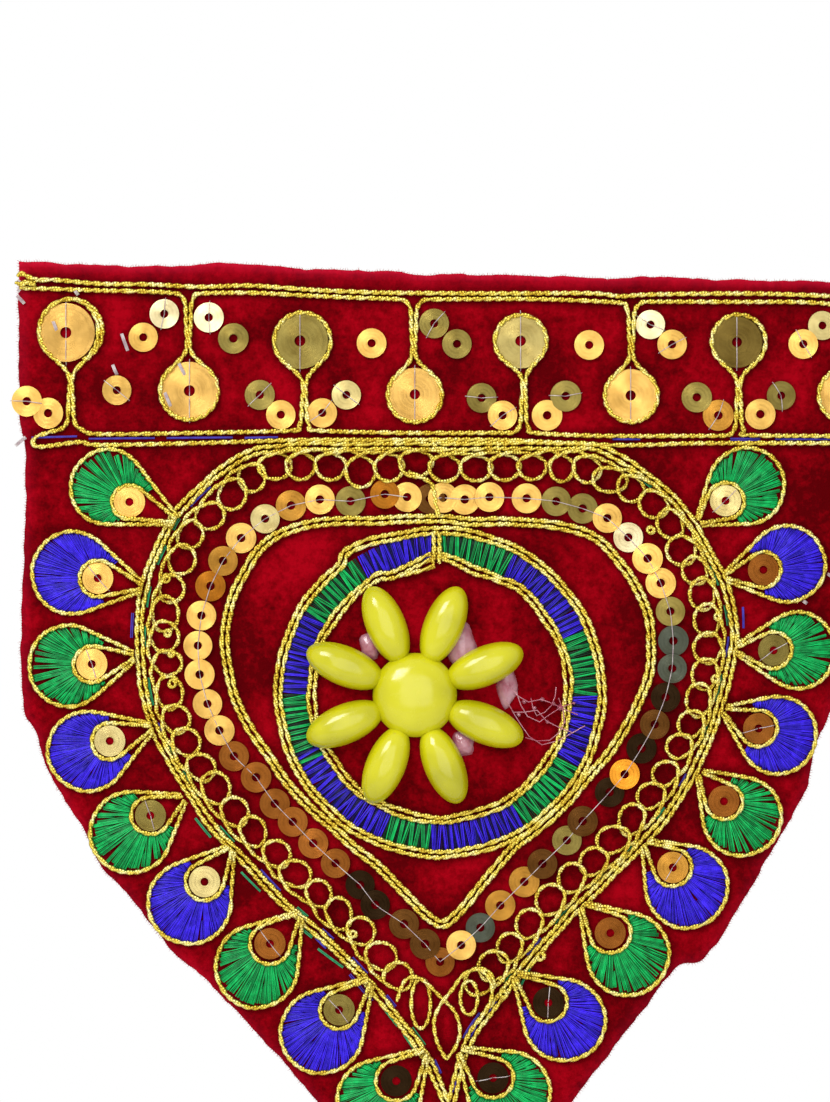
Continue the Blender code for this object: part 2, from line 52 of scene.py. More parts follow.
# How the cloth hangs, as in the solid part.
CLOTH_THICK = 1.6
SIDE_FLAT, SIDE_REACH, SIDE_CURL = 42.0, 28.0, 1.8
TIP_FLAT, TIP_REACH, TIP_CURL = -120.0, 42.0, 1.6
TOP_RIPPLE, TOP_RIPPLE_LENGTH, TOP_RIPPLE_DEPTH = 0.35, 46.0, 26.0
SLOW_WAVE = 0.45
STILL_RADIUS, MOVING_RADIUS = 26.0, 46.0

# The panel's cut edge, clockwise from the top left corner: (x, z).
TOP_EDGE = (
    (-69.8, 2.2), (-62.8, 1.8), (-54.5, 1.4), (-44.5, 1.3), (-34.5, 1.8), (-21.2, 0.8), (-7.8, 0.4),
    (-1.8, -0.2), (2.2, 0), (19.2, -0.4), (30.5, -0.8), (35.5, -0.4), (45.5, -0.9), (65.5, -1.2),
    (73.8, -1.3),
)
RIGHT_EDGE = (
    (73.8, -61), (71.8, -63.5), (68, -68.5), (65.5, -73.2), (63, -79.3), (61.5, -86), (57.8, -92.7),
    (48.8, -108), (44.2, -114.3), (40.2, -115.2), (35.5, -121), (27.2, -131.7), (15.5, -146.8),
    (3.8, -161.7),
)
LEFT_EDGE = (
    (2.2, -163), (0.5, -161.7), (-12.8, -146.5), (-24.5, -132.5), (-37.8, -118.3), (-44.2, -112.7),
    (-50.2, -105), (-56.2, -98.3), (-59.2, -92), (-62.8, -86.7), (-65.3, -81.7), (-67.2, -76),
    (-69, -72.3), (-69.5, -61), (-68.7, -39.3), (-68.8, -28.8), (-69.5, -25.2), (-69.8, -16.8),
)

# The band's four strands of cord: (x, z) along each.
BAND_TOP_UPPER = (
    (-69.5, -1.5), (-64.5, -1), (-56.2, -1.7), (-47.8, -1.8), (-39.5, -2.2), (-31.2, -2), (-21.2, -2.7),
    (-14.5, -3), (-7.8, -3.2), (10.5, -3.3), (25.5, -3.3), (30.5, -3.8), (35.5, -3.5), (50.5, -3.3),
    (60.5, -3.5), (72.8, -4),
)
BAND_TOP_LOWER = (
    (-69.5, -2.3), (-64.5, -2.5), (-56.2, -2.8), (-47.8, -3), (-39.5, -3.3), (-31.2, -3.2), (-21.2, -3.7),
    (-14.5, -4), (-7.8, -4.2), (-1.2, -4.3), (10.5, -4.2), (18.8, -4.3), (30.5, -4.8), (35.5, -4.7),
    (50.5, -4.7), (60.5, -4.7), (72.8, -5.2),
)
BAND_FOOT_UPPER = (
    (-66.6, -27), (-64, -26.2), (-60.3, -26), (-56.2, -26.7), (-39.5, -26.5), (-22.8, -26.2), (-6.2, -26.5),
    (10.5, -26.5), (27.2, -27), (43.8, -27), (52.5, -27), (72.8, -27),
)
BAND_FOOT_LOWER = (
    (-66.6, -27), (-67.4, -27.9), (-66.2, -28.8), (-59.5, -28), (-56.2, -28.5), (-39.5, -28.2),
    (-22.8, -27.7), (-6.2, -27.7), (10.5, -27.7), (27.2, -28.5), (35.5, -28.5), (40.5, -28.3),
    (50.5, -28.2), (72.8, -28.2),
)
# Large sequins in loops of cord: the loop's stem goes up or down from the band's cord; the sequin's x, z and
# radius, the loop's x, z and radius, the stem's x, and the sequin's tone, partly painted reflection.
LOLLIPOPS = (
    ("up", -61.8, -9.8, 4.9, -61, -9.5, 5.8, -61, "honey"),
    ("down", -41.2, -19.5, 4.8, -41.3, -19.5, 5.3, -41.4, "honey"),
    ("up", -22.8, -11.2, 4.7, -22.4, -11.2, 5.2, -22.1, "olive"),
    ("down", -3.7, -20.1, 4.4, -3.7, -20.2, 5.0, -3.9, "honey"),
    ("up", 13.9, -11.2, 4.6, 13.9, -11.2, 4.8, 14.4, "sage"),
    ("down", 32.2, -20.3, 4.4, 32.3, -20.3, 4.9, 32.3, "honey"),
    ("up", 49.9, -11.4, 4.3, 50.2, -11.3, 5.0, 50.2, "dusk"),
    ("down", 68.0, -20.2, 4.5, 68.0, -20.2, 4.9, 68.0, "honey"),
)
LOOP_OPEN = math.radians(38)
LOOP_POINT = 1.26

# The hearts' cords: (x, z) down each side. The outer one is open and its ends meet at the tip.
OUTER_LEFT = (
    (0, -28.8), (-12, -28.8), (-22.8, -28.8), (-27, -29.2), (-31.2, -29.9), (-37.8, -34.3), (-43.2, -39.7),
    (-45.2, -43.2), (-48.2, -50), (-49.5, -57.7), (-49.2, -66.2), (-47.8, -73.7), (-45.2, -79.5),
    (-38.7, -90.2), (-32, -97.8), (-24.5, -105.7), (-17.2, -112), (-9.5, -120.3), (-2.8, -129),
    (-0.6, -132.7), (1.6, -138.3),
)
OUTER_RIGHT = (
    (0, -28.8), (12, -28.7), (23.8, -28.7), (28, -29.5), (34.7, -33.5), (41, -39.5), (45.2, -46.3),
    (48.3, -53), (49.5, -59.8), (48.5, -66.2), (47, -72.3), (44, -80), (40.5, -86.8), (34.7, -94.3),
    (27.2, -101.7), (20.5, -108.5), (13.8, -116.3), (6.7, -125.3), (4.3, -130.3), (2.2, -138),
)
INNER_HEART = (
    (0, -40.8), (-14.5, -41.2), (-21.2, -41.7), (-27.8, -44.3), (-32.8, -51), (-35, -57.7), (-35, -65),
    (-33, -72), (-29.2, -78.7), (-22.8, -87.2), (-16.2, -93.3), (-9.5, -99), (-2.8, -105.7), (-0.5, -107.7),
    (1.0, -108.3), (3.2, -106.8), (7.8, -101.2), (13.2, -95.2), (20.5, -89.2), (26.2, -82.5),
    (30.7, -76.8), (34.7, -68.3), (35.7, -62.3), (34.7, -55.7), (31.3, -49.2), (26.2, -44),
    (18.8, -41.7), (5.5, -41.2),
)
TWIN_SPACING = 0.94

# Curls of cord inside the outer heart: x, z and radius outside, along the top to the right and down, and then
# down the left.
CURLS_RIGHT = (
    (-27, -32, 2.8), (-22.7, -31.8, 2.8), (-17.7, -31.8, 2.8), (-12.7, -32.7, 3.0), (-8, -32, 2.8),
    (-3.5, -31.3, 2.8), (1.3, -32.2, 2.8), (6.5, -32.2, 2.8), (11.2, -32, 2.8), (15.8, -32, 2.8),
    (20.7, -32, 2.8), (25, -32.2, 2.8), (28.8, -34.2, 2.8), (32.3, -35.5, 2.8), (36.2, -38.2, 2.8),
    (39, -41.5, 2.8), (40.8, -46, 2.8), (43.1, -49.3, 2.8), (44.3, -53.3, 2.8), (45.1, -57.6, 2.8),
    (45.3, -62.3, 2.8), (44.8, -66.7, 2.8), (43.6, -71, 2.8), (42.5, -75, 2.8), (40.5, -78.7, 2.8),
    (38.2, -83.3, 2.8), (35.8, -87, 2.8), (32.5, -91, 2.8), (29.5, -94.3, 2.8), (26.2, -98, 2.8),
    (22.5, -100.7, 2.8), (19, -104.3, 2.8), (15.5, -108.3, 2.8), (12.2, -112.3, 2.8), (9.5, -115.3, 2.8),
    (7.0, -117.9, 2.6),
)
CURLS_LEFT = (
    (-30.8, -33.8, 2.8), (-34.2, -36.5, 2.8), (-38, -40.2, 2.8), (-41.3, -43.3, 2.8),
    (-42.7, -47.5, 2.8), (-44.4, -52.4, 2.8), (-45.4, -56.6, 2.8), (-45.6, -60.4, 2.8), (-45.2, -64.8, 2.8),
    (-44.7, -69.8, 2.8), (-43.7, -74.2, 2.8), (-42, -78, 2.8), (-39.5, -82.3, 2.8), (-37, -85.7, 2.8),
    (-33.8, -89.7, 2.8), (-30.8, -93, 2.8), (-26.8, -96.7, 2.8), (-23.8, -100, 2.8), (-19.8, -103.3, 2.8),
    (-16.5, -106.7, 2.8), (-12.8, -109.5, 2.8), (-9.5, -113.7, 2.8), (-6.5, -117, 2.8),
)
# Small rings of cord inside some curls: x, z and radius outside.
SMALL_RINGS = (
    (-45, -50.7, 0.95), (-44.8, -59.8, 0.85), (-44.2, -63.2, 0.8), (-44.0, -68.2, 0.95), (-14, -109.8, 0.9),
    (35.5, -42.7, 0.9), (46.6, -57.1, 0.85), (46.2, -67.4, 0.9), (17.2, -113.5, 0.95), (11, -119.8, 0.9),
)
# The long curls at the heart's tip: x, z, half width and half length, and two strands that cross in a leaf.
TIP_CURLS = ((-2.7, -121.4, 1.95, 4.5), (5.3, -120.4, 1.8, 3.2))
LEAF_STRANDS = (
    ((-6.7, -121), (-5.3, -117.5), (-2.8, -117.2), (0.5, -120.2), (3, -122.9), (3.8, -126), (3, -128.7),
     (1.5, -130.6)),
    ((1.5, -130.6), (0, -127.7), (-0.5, -124.3), (0.5, -121.6), (2.5, -119), (4.3, -116.6), (6.8, -115.6),
     (8.8, -117.5), (9.0, -120.6), (7.4, -123.4)),
)

# The ring: its centre, and the middles of its cords.
RING_X, RING_Z = 0.5, -69.7
RING_OUTER, RING_INNER = 26.9, 21.4
SATIN_FROM, SATIN_TO = 22.0, 26.4
# Where they leave the circle at the top, from right to left.
OUTER_CORNER = ((-4, -43.2), (-9.8, -44.3), (-15, -46.3))
INNER_ROOF = ((9.4, -50.4), (6.2, -49.3), (-0.3, -47.1), (-7.5, -50.2))
# Its silk, clockwise from the top: where each stretch ends, in degrees, and its colour.
RING_COLOURS = (
    (28, "green"), (64, "blue"), (88, "green"), (119, "blue"), (147, "green"), (182, "blue"), (205, "green"),
    (244, "blue"), (267, "green"), (299, "blue"), (327, "green"), (360, "blue"),
)

# Peacock eyes: name, silk, head x, z and radius outside, neck x and z, eye x, z and radius outside, and the
# tone of its sequin, partly painted reflection.
FEATHERS = (
    ("L1", "green", -54.8, -35.5, 6.7, -44.3, -40.7, -51.2, -38, 3.0, "gold"),
    ("L2", "blue", -60.7, -49.8, 7.3, -49.8, -52, -56.5, -50.7, 3.2, "gold"),
    ("L3", "green", -61.3, -65.3, 7.2, -51.2, -63.8, -57.5, -65, 3.2, "gold"),
    ("L4", "blue", -58.2, -79.5, 7.1, -48.2, -75.8, -54.5, -77.8, 3.2, "pale"),
    ("L5", "green", -51, -93, 7.2, -42.8, -87.7, -47.7, -90.2, 3.3, "olive"),
    ("L6", "blue", -41.2, -104.7, 7.3, -34.8, -96.3, -38.7, -101.2, 3.3, "pale"),
    ("L7", "green", -30, -115.3, 7.3, -23.5, -107.3, -27.8, -111.5, 3.5, "brown"),
    ("L8", "blue", -19.2, -126.2, 7.3, -11.8, -118.3, -16.3, -122.5, 3.3, "olive"),
    ("L9", "green", -9.8, -137.7, 7.3, -2.5, -130, -6.8, -134.3, 3.5, "black"),
    ("R1", "green", 51.5, -35.3, 6.8, 44.2, -40.8, 48, -37.8, 3.2, "pale"),
    ("R2", "blue", 58.3, -48.3, 6.8, 48.8, -50.2, 54.3, -49.3, 3.1, "brown"),
    ("R3", "green", 60, -62.7, 6.8, 50.5, -62.5, 56, -62.7, 3.2, "olive"),
    ("R4", "blue", 56.7, -76.8, 6.9, 48.5, -73, 53.5, -75.7, 3.2, "brown"),
    ("R5", "green", 50.7, -90.3, 7.0, 44.3, -83.7, 47.7, -87.8, 3.2, "brown"),
    ("R6", "blue", 41.5, -102, 7.3, 35.2, -95.3, 39.2, -98.8, 3.3, "bronze"),
    ("R7", "green", 31.7, -113.2, 7.3, 24.8, -105.7, 28.8, -109.7, 3.5, "brown"),
    ("R8", "blue", 21.2, -124.2, 7.2, 13.8, -117.3, 18.5, -121.3, 3.3, "black"),
    ("R9", "green", 12, -136.3, 7.3, 4.5, -129.7, 9.3, -133.8, 3.5, "black"),
)

# Small sequins on the band, and on the thread between the hearts: x, z and tone, partly painted reflection.
BAND_SEQUINS = (
    (-45.4, -6.7, "white"), (-48.9, -10.6, "gold"), (-38, -7.3, "white"), (-33.9, -10.8, "olive"),
    (-53.3, -19.4, "gold"), (-68.4, -21.2, "gold"), (-64.8, -23.2, "gold"), (-29.5, -20.2, "olive"),
    (-26, -23.5, "gold"), (-19.1, -23.2, "gold"), (-15.1, -20.2, "pale"), (-10.9, -11.6, "gold"),
    (-0.5, -8.3, "olive"), (3.3, -11.7, "olive"), (7.4, -20.7, "olive"), (10.9, -23.6, "gold"),
    (18.3, -23.6, "gold"), (21.4, -20.4, "olive"), (25.3, -11.9, "gold"), (35.5, -8.5, "white"),
    (39.1, -11.8, "gold"), (43.2, -20.6, "olive"), (46.8, -23.6, "bronze"), (53.8, -23.4, "gold"),
    (57.3, -20.3, "olive"), (61, -11.7, "gold"), (64.2, -8.6, "pale"), (71.2, -8.7, "gold"),
)
ROW_SEQUINS = (
    (-5, -37.2, "gold"), (-8.7, -36.7, "copper"), (-14.4, -37.9, "olive"), (-19.5, -37.6, "gold"),
    (-24.3, -38.6, "bronze"), (-28.6, -40.8, "pale"), (-32.6, -44, "gold"), (-35.6, -47.8, "bronze"),
    (-37.7, -52, "copper"), (-39.2, -56.9, "gold"), (-39.8, -61.9, "gold"), (-39.5, -66.7, "gold"),
    (-38.2, -71.6, "gold"), (-36.2, -76, "gold"), (-33.8, -80.3, "brown"), (-30.1, -83.8, "brown"),
    (-27, -88.2, "brown"), (-24, -91.2, "brown"), (-20.6, -94.8, "brown"), (-16.9, -98.1, "brown"),
    (-12.8, -101.7, "black"), (-10.3, -105, "black"), (-5.5, -108.2, "umber"), (-2, -111.5, "umber"),
    (0.5, -114.5, "brown"), (4, -111.7, "gold"), (7.2, -108.8, "slate"), (10.5, -105.1, "bronze"),
    (14.5, -101.2, "bronze"), (17.5, -98.2, "umber"), (21.6, -94.3, "olive"), (24.2, -91.1, "umber"),
    (28.7, -86.3, "black"), (31.2, -83.3, "orange"), (34, -79, "black"), (36.2, -75, "umber"),
    (38, -70.5, "black"), (39.1, -65.7, "slate"), (39.3, -61.1, "slate"), (38.8, -56.2, "olive"),
    (37.2, -51.5, "gold"), (35, -47.4, "gold"), (31.8, -43.9, "white"), (28.3, -40.7, "gold"),
    (24.2, -39.1, "olive"), (19.8, -37.9, "olive"), (14.9, -37.4, "gold"), (8.7, -37.2, "gold"),
    (4.6, -37.6, "gold"), (1, -37.3, "gold"), (-1.2, -37.5, "umber"),
)
SMALL_SEQUIN, EYE_SEQUIN = 2.5, 2.6
# Each sequin's tone: partly the foil's own colour, partly a painted reflection, most of all in the brown,
# slate and black ones.
TONES_AND_REFLECTIONS = {
    "gold": "#f0c064", "honey": "#dcae5c", "sage": "#b8a563", "dusk": "#75602c", "white": "#f6e6b4",
    "pale": "#e0cc88", "olive": "#8a7a3e", "bronze": "#bb8636",
    "copper": "#a8681e", "orange": "#e0942c", "brown": "#8e5420", "umber": "#5c3a18", "slate": "#4c5044",
    "black": "#2c1e10",
}

# Heights of the trims' middles above the cloth's face.
CORD_LIES = 0.5
OVER_CORD = 0.95
SATIN_LIES = 0.25
UNDERLAY_LIES = 0.05
SEQUIN_LIES = 0.55

# The flower: its centre, its petals and its boss, as in the solid part.
EMBLEM_X, EMBLEM_Z = -3.7, -70.1
PETALS = 8
PETAL_LONG, PETAL_WIDE, PETAL_HIGH = 13.6, 6.6, 3.2
PETAL_CENTRE = 12.6
BOSS_WIDE, BOSS_HIGH = 14.0, 3.6
EMBLEM_LIFT = 1.6


# Lines
def fade(value, start, end):
    """0 at start, 1 at end and beyond, smooth between."""
    share = np.clip((value - start) / (end - start), 0.0, 1.0)
    return share * share * (3 - 2 * share)


def cloth_bend(x, z):
    """How far the cloth's middle lies behind the XZ plane, in millimetres."""
    side = np.maximum(np.abs(x) - SIDE_FLAT, 0.0) / SIDE_REACH
    tip = np.maximum(TIP_FLAT - z, 0.0) / TIP_REACH
    top = np.clip(1 + z / TOP_RIPPLE_DEPTH, 0.0, 1.0)
    ripple = TOP_RIPPLE * top * np.sin(2 * np.pi * x / TOP_RIPPLE_LENGTH + 0.8)
    moving = fade(np.hypot(x - RING_X, z - RING_Z), STILL_RADIUS, MOVING_RADIUS)
    slow = SLOW_WAVE * moving * np.sin(x / 31 + 1.1) * np.sin(z / 43 + 0.4)
    return SIDE_CURL * side**2 - TIP_CURL * tip**2 + ripple + slow


def laid(points):
    """Places in metres of rows of x, z and the height above the cloth's face."""
    x, z, high = np.asarray(points, float).T
    return np.stack([x, cloth_bend(x, z) - CLOTH_THICK / 2 - high, z], axis=1) * MM


def evened(line, pitch):
    """The same line with its points an even pitch apart."""
    steps = np.linalg.norm(np.diff(line, axis=0), axis=1)
    run = np.concatenate([[0.0], np.cumsum(steps)])
    places = np.linspace(0.0, run[-1], max(int(round(run[-1] / pitch)), 2) + 1)
    return np.stack([np.interp(places, run, column) for column in line.T], axis=1)


def smooth(points, closed=False, pitch=0.4):
    """A smooth line through given points of any number of columns."""
    knots = np.array(points, float)
    count = len(knots)
    found = []
    for index in range(count if closed else count - 1):
        if closed:
            before, start, end, after = (knots[(index + shift) % count] for shift in (-1, 0, 1, 2))
        else:
            before, start, end, after = (
                knots[min(max(index + shift, 0), count - 1)] for shift in (-1, 0, 1, 2)
            )
        for t in np.arange(0, 1, 0.1):
            found.append(0.5 * (
                2 * start + (end - before) * t + (2 * before - 5 * start + 4 * end - after) * t**2
                + (3 * start - before - 3 * end + after) * t**3
            ))
    found.append(knots[0] if closed else knots[-1])
    return evened(np.array(found), pitch)


def lifted(line, high):
    """A flat line with its height as a third column."""
    return np.column_stack([line[:, 0], line[:, 1], np.broadcast_to(high, len(line))])


def beside(line, offset, closed=False):
    """The line moved sideways in the plane; offset is one number or one for each point."""
    if closed:
        ahead = np.roll(line, -1, axis=0) - np.roll(line, 1, axis=0)
        ahead[0] = ahead[-1] = line[1] - line[-2]
    else:
        ahead = np.gradient(line, axis=0)
    ahead = ahead[:, :2] / np.linalg.norm(ahead[:, :2], axis=1)[:, None]
    across = np.column_stack([-ahead[:, 1], ahead[:, 0]])
    moved = line.copy()
    moved[:, :2] += across * np.broadcast_to(offset, len(line))[:, None]
    return moved


def wander(line, reach, length=14.0):
    """A slow hand-made drift, one number for each point of the line, that starts and ends alike."""
    run = np.arange(len(line)) / max(len(line) - 1, 1)
    total = np.linalg.norm(np.diff(line, axis=0), axis=1).sum()
    waves = [max(int(round(total / length * share)), 1) for share in (1.0, 1.7, 2.9)]
    drift = sum(
        weight * np.sin(2 * np.pi * (wave * run + rng.random()))
        for wave, weight in zip(waves, (0.5, 0.3, 0.2))
    )
    return reach * drift


def circle(x, z, wide, high=None, start=0.0, turn=2 * math.pi, pitch=0.4):
    """Points round an ellipse, both ends included."""
    high = wide if high is None else high
    count = max(int(abs(turn) * (wide + high) / 2 / pitch), 8)
    angles = np.linspace(start, start + turn, count + 1)
    return np.column_stack([x + wide * np.cos(angles), z + high * np.sin(angles)])


def twin(line, closed=False, high=CORD_LIES, spacing=TWIN_SPACING):
    """Two strands side by side along a line."""
    strands = []
    for side in (-0.5, 0.5):
        drift = wander(line, 0.14)
        strands.append(lifted(beside(line, side * spacing + drift, closed), high))
    return strands


# Materials
def linear(colour):
    """The linear RGBA of an sRGB hex colour."""
    parts = [int(colour[start:start + 2], 16) / 255 for start in (1, 3, 5)]
    return (*(part / 12.92 if part <= 0.04045 else ((part + 0.055) / 1.055) ** 2.4 for part in parts), 1.0)


def node(tree, kind, inputs=None, stops=(), **settings):
    """Adds a node with its settings, fills or links its sockets, and gives its outputs.

    A text value is a hex colour, and stops are a colour ramp's places and hex colours.
    """
    made = tree.nodes.new(kind)
    for key, value in settings.items():
        setattr(made, key, value)
    for index, (position, colour) in enumerate(stops):
        stop = made.color_ramp.elements[index] if index < 2 else made.color_ramp.elements.new(position)
        stop.position, stop.color = position, linear(colour)
    for socket, value in (inputs or {}).items():
        if isinstance(value, bpy.types.NodeSocket):
            tree.links.new(value, made.inputs[socket])
        elif isinstance(value, str) and value.startswith("#"):
            made.inputs[socket].default_value = linear(value)
        else:
            made.inputs[socket].default_value = value
    return made.outputs


def per(size):
    """A texture's scale for lumps of this many millimetres."""
    return 1 / (size * MM)


def material(name, **shader):
    """A new Principled material, its node tree and its shader's sockets, with these shader values."""
    made = bpy.data.materials.new(name)
    made.use_nodes = True
    sockets = made.node_tree.nodes["Principled BSDF"].inputs
    for key, value in shader.items():
        sockets[key.replace("_", " ")].default_value = value
    return made, made.node_tree, sockets


def velvet_pile():
    """Cotton velvet, cut pile: dark looking straight in, with a rosy bloom where the tips lie over. Its
    colour is darker beside the trims, as pressed pile and painted shade, and paler at the cut edge as painted
    sheen.
    """
    made, tree, surface = material(
        "cut_pile_red_cotton_velvet", Roughness=0.9, IOR=1.47, Sheen_Weight=0.06, Sheen_Roughness=0.35,
        Sheen_Tint=linear("#ff3048"), Specular_IOR_Level=0.02,
    )
    place = node(tree, "ShaderNodeTexCoord")["Object"]
    patches = node(tree, "ShaderNodeTexNoise", {"Vector": place, "Scale": per(14), "Detail": 3.0})[0]
    tufts = node(tree, "ShaderNodeTexNoise", {"Vector": place, "Scale": per(1.4), "Detail": 3.0})[0]
    # Pile tips stand about 0.2 mm apart; they are drawn 0.45 mm apart so that they show.
    tips = node(tree, "ShaderNodeTexNoise", {"Vector": place, "Scale": per(0.45), "Detail": 1.0})[0]
    shade = node(tree, "ShaderNodeMath", {0: patches, 1: 0.55}, operation="MULTIPLY")[0]
    shade = node(tree, "ShaderNodeMath", {0: tufts, 1: 0.3, 2: shade}, operation="MULTIPLY_ADD")[0]
    shade = node(tree, "ShaderNodeMath", {0: tips, 1: 0.15, 2: shade}, operation="MULTIPLY_ADD")[0]
    base = node(
        tree, "ShaderNodeValToRGB", {"Fac": shade}, ((0.4, "#560005"), (0.5, "#7c000a"), (0.61, "#9c0213")),
    )[0]
    edge = node(tree, "ShaderNodeAttribute", attribute_name="edge_near")["Fac"]
    pressed = node(tree, "ShaderNodeAttribute", attribute_name="pressed")["Fac"]
    # Painted shade beside the trims, where the pile is also pressed, and painted sheen along the cut edge,
    # strongest at the top.
    base = node(tree, "ShaderNodeMix", {0: pressed, 6: base, 7: "#4a0006"}, data_type="RGBA")[2]
    base = node(tree, "ShaderNodeMix", {0: edge, 6: base, 7: "#c01430"}, data_type="RGBA")[2]
    tree.links.new(base, surface["Base Color"])
    grain = node(tree, "ShaderNodeBump", {"Height": tips, "Distance": 0.12 * MM})[0]
    grain = node(tree, "ShaderNodeBump", {"Height": tufts, "Distance": 0.3 * MM, "Normal": grain})[0]
    tree.links.new(grain, surface["Normal"])
    return made


def woven_back():
    """The velvet's plain cotton ground seen from behind: a dull fine weave."""
    made, tree, surface = material("plain_woven_velvet_ground", Roughness=0.9, IOR=1.47)
    place = node(tree, "ShaderNodeTexCoord")["Object"]
    # Yarns stand 0.35 mm apart, drawn at 0.7 mm so that they show.
    warp, weft = (
        node(
            tree, "ShaderNodeTexWave", {"Vector": place, "Scale": per(0.7) / 3.18, "Distortion": 0.6},
            bands_direction=direction,
        )[1]
        for direction in ("X", "Z")
    )
    weave = node(tree, "ShaderNodeMath", {0: warp, 1: weft}, operation="MULTIPLY")[0]
    tint = node(tree, "ShaderNodeValToRGB", {"Fac": weave}, ((0.0, "#4e0810"), (1.0, "#841a26")))[0]
    stains = node(tree, "ShaderNodeTexNoise", {"Vector": place, "Scale": per(20), "Detail": 3.0})[0]
    tint = node(tree, "ShaderNodeMix", {0: stains, 6: tint, 7: "#70121c"}, data_type="RGBA")[2]
    tree.links.new(tint, surface["Base Color"])
    bump = node(tree, "ShaderNodeBump", {"Height": weave, "Distance": 0.15 * MM})[0]
    tree.links.new(bump, surface["Normal"])
    return made


def zari():
    """Zari: gilt metal strip wound on a core. Its turns catch the light, and the creases get a painted olive
    shade.
    """
    made, tree, surface = material("gilt_zari_twisted_cord", Metallic=1.0, Roughness=0.4)
    place = node(tree, "ShaderNodeTexCoord")["Object"]
    along = node(tree, "ShaderNodeAttribute", attribute_name="along")["Fac"]
    # The strip winds about every 0.3 mm and is drawn every 0.5 mm so that it shows.
    turns = node(tree, "ShaderNodeMath", {0: along, 1: 2 * math.pi / (0.5 * MM)}, operation="MULTIPLY")[0]
    turns = node(tree, "ShaderNodeMath", {0: turns}, operation="SINE")[0]
    worn = node(tree, "ShaderNodeTexNoise", {"Vector": place, "Scale": per(2.2), "Detail": 3.0})[0]
    colour = node(
        tree, "ShaderNodeValToRGB", {"Fac": worn}, ((0.32, "#d6b63c"), (0.5, "#f4e064"), (0.66, "#fff6a6")),
    )[0]
    # Painted shade: the colour goes olive where the plies crowd each other, in the creases.
    inside = node(tree, "ShaderNodeAmbientOcclusion", {"Distance": 0.8 * MM}, samples=4)[1]
    inside = node(tree, "ShaderNodeMapRange", {0: inside, 1: 0.1, 2: 0.6, 3: 0.85, 4: 0.0})[0]
    colour = node(tree, "ShaderNodeMix", {0: inside, 6: colour, 7: "#9a7614"}, data_type="RGBA")[2]
    tree.links.new(colour, surface["Base Color"])
    bump = node(tree, "ShaderNodeBump", {"Height": turns, "Distance": 0.05 * MM})[0]
    tree.links.new(bump, surface["Normal"])
    return made


def silk(name, painted_shade, dark, bright, other_dark="#000000", other_bright="#000000"):
    """Rayon floss in satin stitch: smooth, with a soft line of light along each thread and painted shade in
    the gaps between threads.
    """
    made, tree, surface = material(
        name, Roughness=0.34, IOR=1.53, Specular_IOR_Level=0.24,
    )
    place = node(tree, "ShaderNodeTexCoord")["Object"]
    shade = node(tree, "ShaderNodeAttribute", attribute_name="shade")["Fac"]
    tone = node(tree, "ShaderNodeAttribute", attribute_name="tone")["Fac"]
    patches = node(tree, "ShaderNodeTexNoise", {"Vector": place, "Scale": per(1.2)})[0]
    share = node(tree, "ShaderNodeMath", {0: shade, 1: patches}, operation="MULTIPLY")[0]
    share = node(tree, "ShaderNodeMath", {0: share, 1: 1.6}, operation="MULTIPLY")[0]
    first = node(tree, "ShaderNodeMix", {0: share, 6: dark, 7: bright}, data_type="RGBA")[2]
    other = node(tree, "ShaderNodeMix", {0: share, 6: other_dark, 7: other_bright}, data_type="RGBA")[2]
    colour = node(tree, "ShaderNodeMix", {0: tone, 6: first, 7: other}, data_type="RGBA")[2]
    # Painted shade: the colour goes to the shade colour where threads crowd, in the gaps and under one
    # another.
    inside = node(tree, "ShaderNodeAmbientOcclusion", {"Distance": 0.5 * MM}, samples=4)[1]
    inside = node(tree, "ShaderNodeMapRange", {0: inside, 1: 0.2, 2: 0.65, 3: 0.7, 4: 0.0})[0]
    colour = node(tree, "ShaderNodeMix", {0: inside, 6: colour, 7: painted_shade}, data_type="RGBA")[2]
    tree.links.new(colour, surface["Base Color"])
    return made


def sequin_foil():
    """Gilded plastic foil, stamped: flat and bright with fine turned lines. The brown and dark ones are
    partly their own tone and partly a painted reflection.
    """
    made, tree, surface = material("stamped_gilt_sequin_foil", Metallic=1.0, Roughness=0.34)
    # The sequin's colour is partly its own tone and partly a painted reflection.
    colour = node(tree, "ShaderNodeAttribute", attribute_name="colour")["Color"]
    face = node(tree, "ShaderNodeAttribute", attribute_name="face")["Vector"]
    out = node(tree, "ShaderNodeVectorMath", {0: face}, operation="LENGTH")[1]
    # The die leaves rings about 0.1 mm apart, drawn at 0.3 mm so that they show.
    run = node(tree, "ShaderNodeMath", {0: out, 1: per(0.3)}, operation="MULTIPLY")[0]
    rings = node(tree, "ShaderNodeTexNoise", {"W": run, "Detail": 1.0}, noise_dimensions="1D")[0]
    place = node(tree, "ShaderNodeTexCoord")["Object"]
    dull = node(tree, "ShaderNodeTexNoise", {"Vector": place, "Scale": per(2.5), "Detail": 2.0})[0]
    tint = node(tree, "ShaderNodeValToRGB", {"Fac": dull}, ((0.25, "#dcd6ca"), (0.6, "#ffffff")))[0]
    colour = node(
        tree, "ShaderNodeMix", {0: 1.0, 6: colour, 7: tint}, data_type="RGBA", blend_type="MULTIPLY",
    )[2]
    tree.links.new(colour, surface["Base Color"])
    bump = node(tree, "ShaderNodeBump", {"Height": rings, "Distance": 0.022 * MM})[0]
    tree.links.new(bump, surface["Normal"])
    return made


def clear_thread():
    """Nylon monofilament and pale sewing cotton: thin, whitish and half see-through."""
    made, tree, surface = material(
        "pale_nylon_sewing_thread", Roughness=0.3, IOR=1.53, Transmission_Weight=0.3,
    )
    place = node(tree, "ShaderNodeTexCoord")["Object"]
    fleck = node(tree, "ShaderNodeTexNoise", {"Vector": place, "Scale": per(1.5)})[0]
    tint = node(tree, "ShaderNodeValToRGB", {"Fac": fleck}, ((0.3, "#b99aa4"), (0.7, "#f3ece8")))[0]
    tree.links.new(tint, surface["Base Color"])
    return made


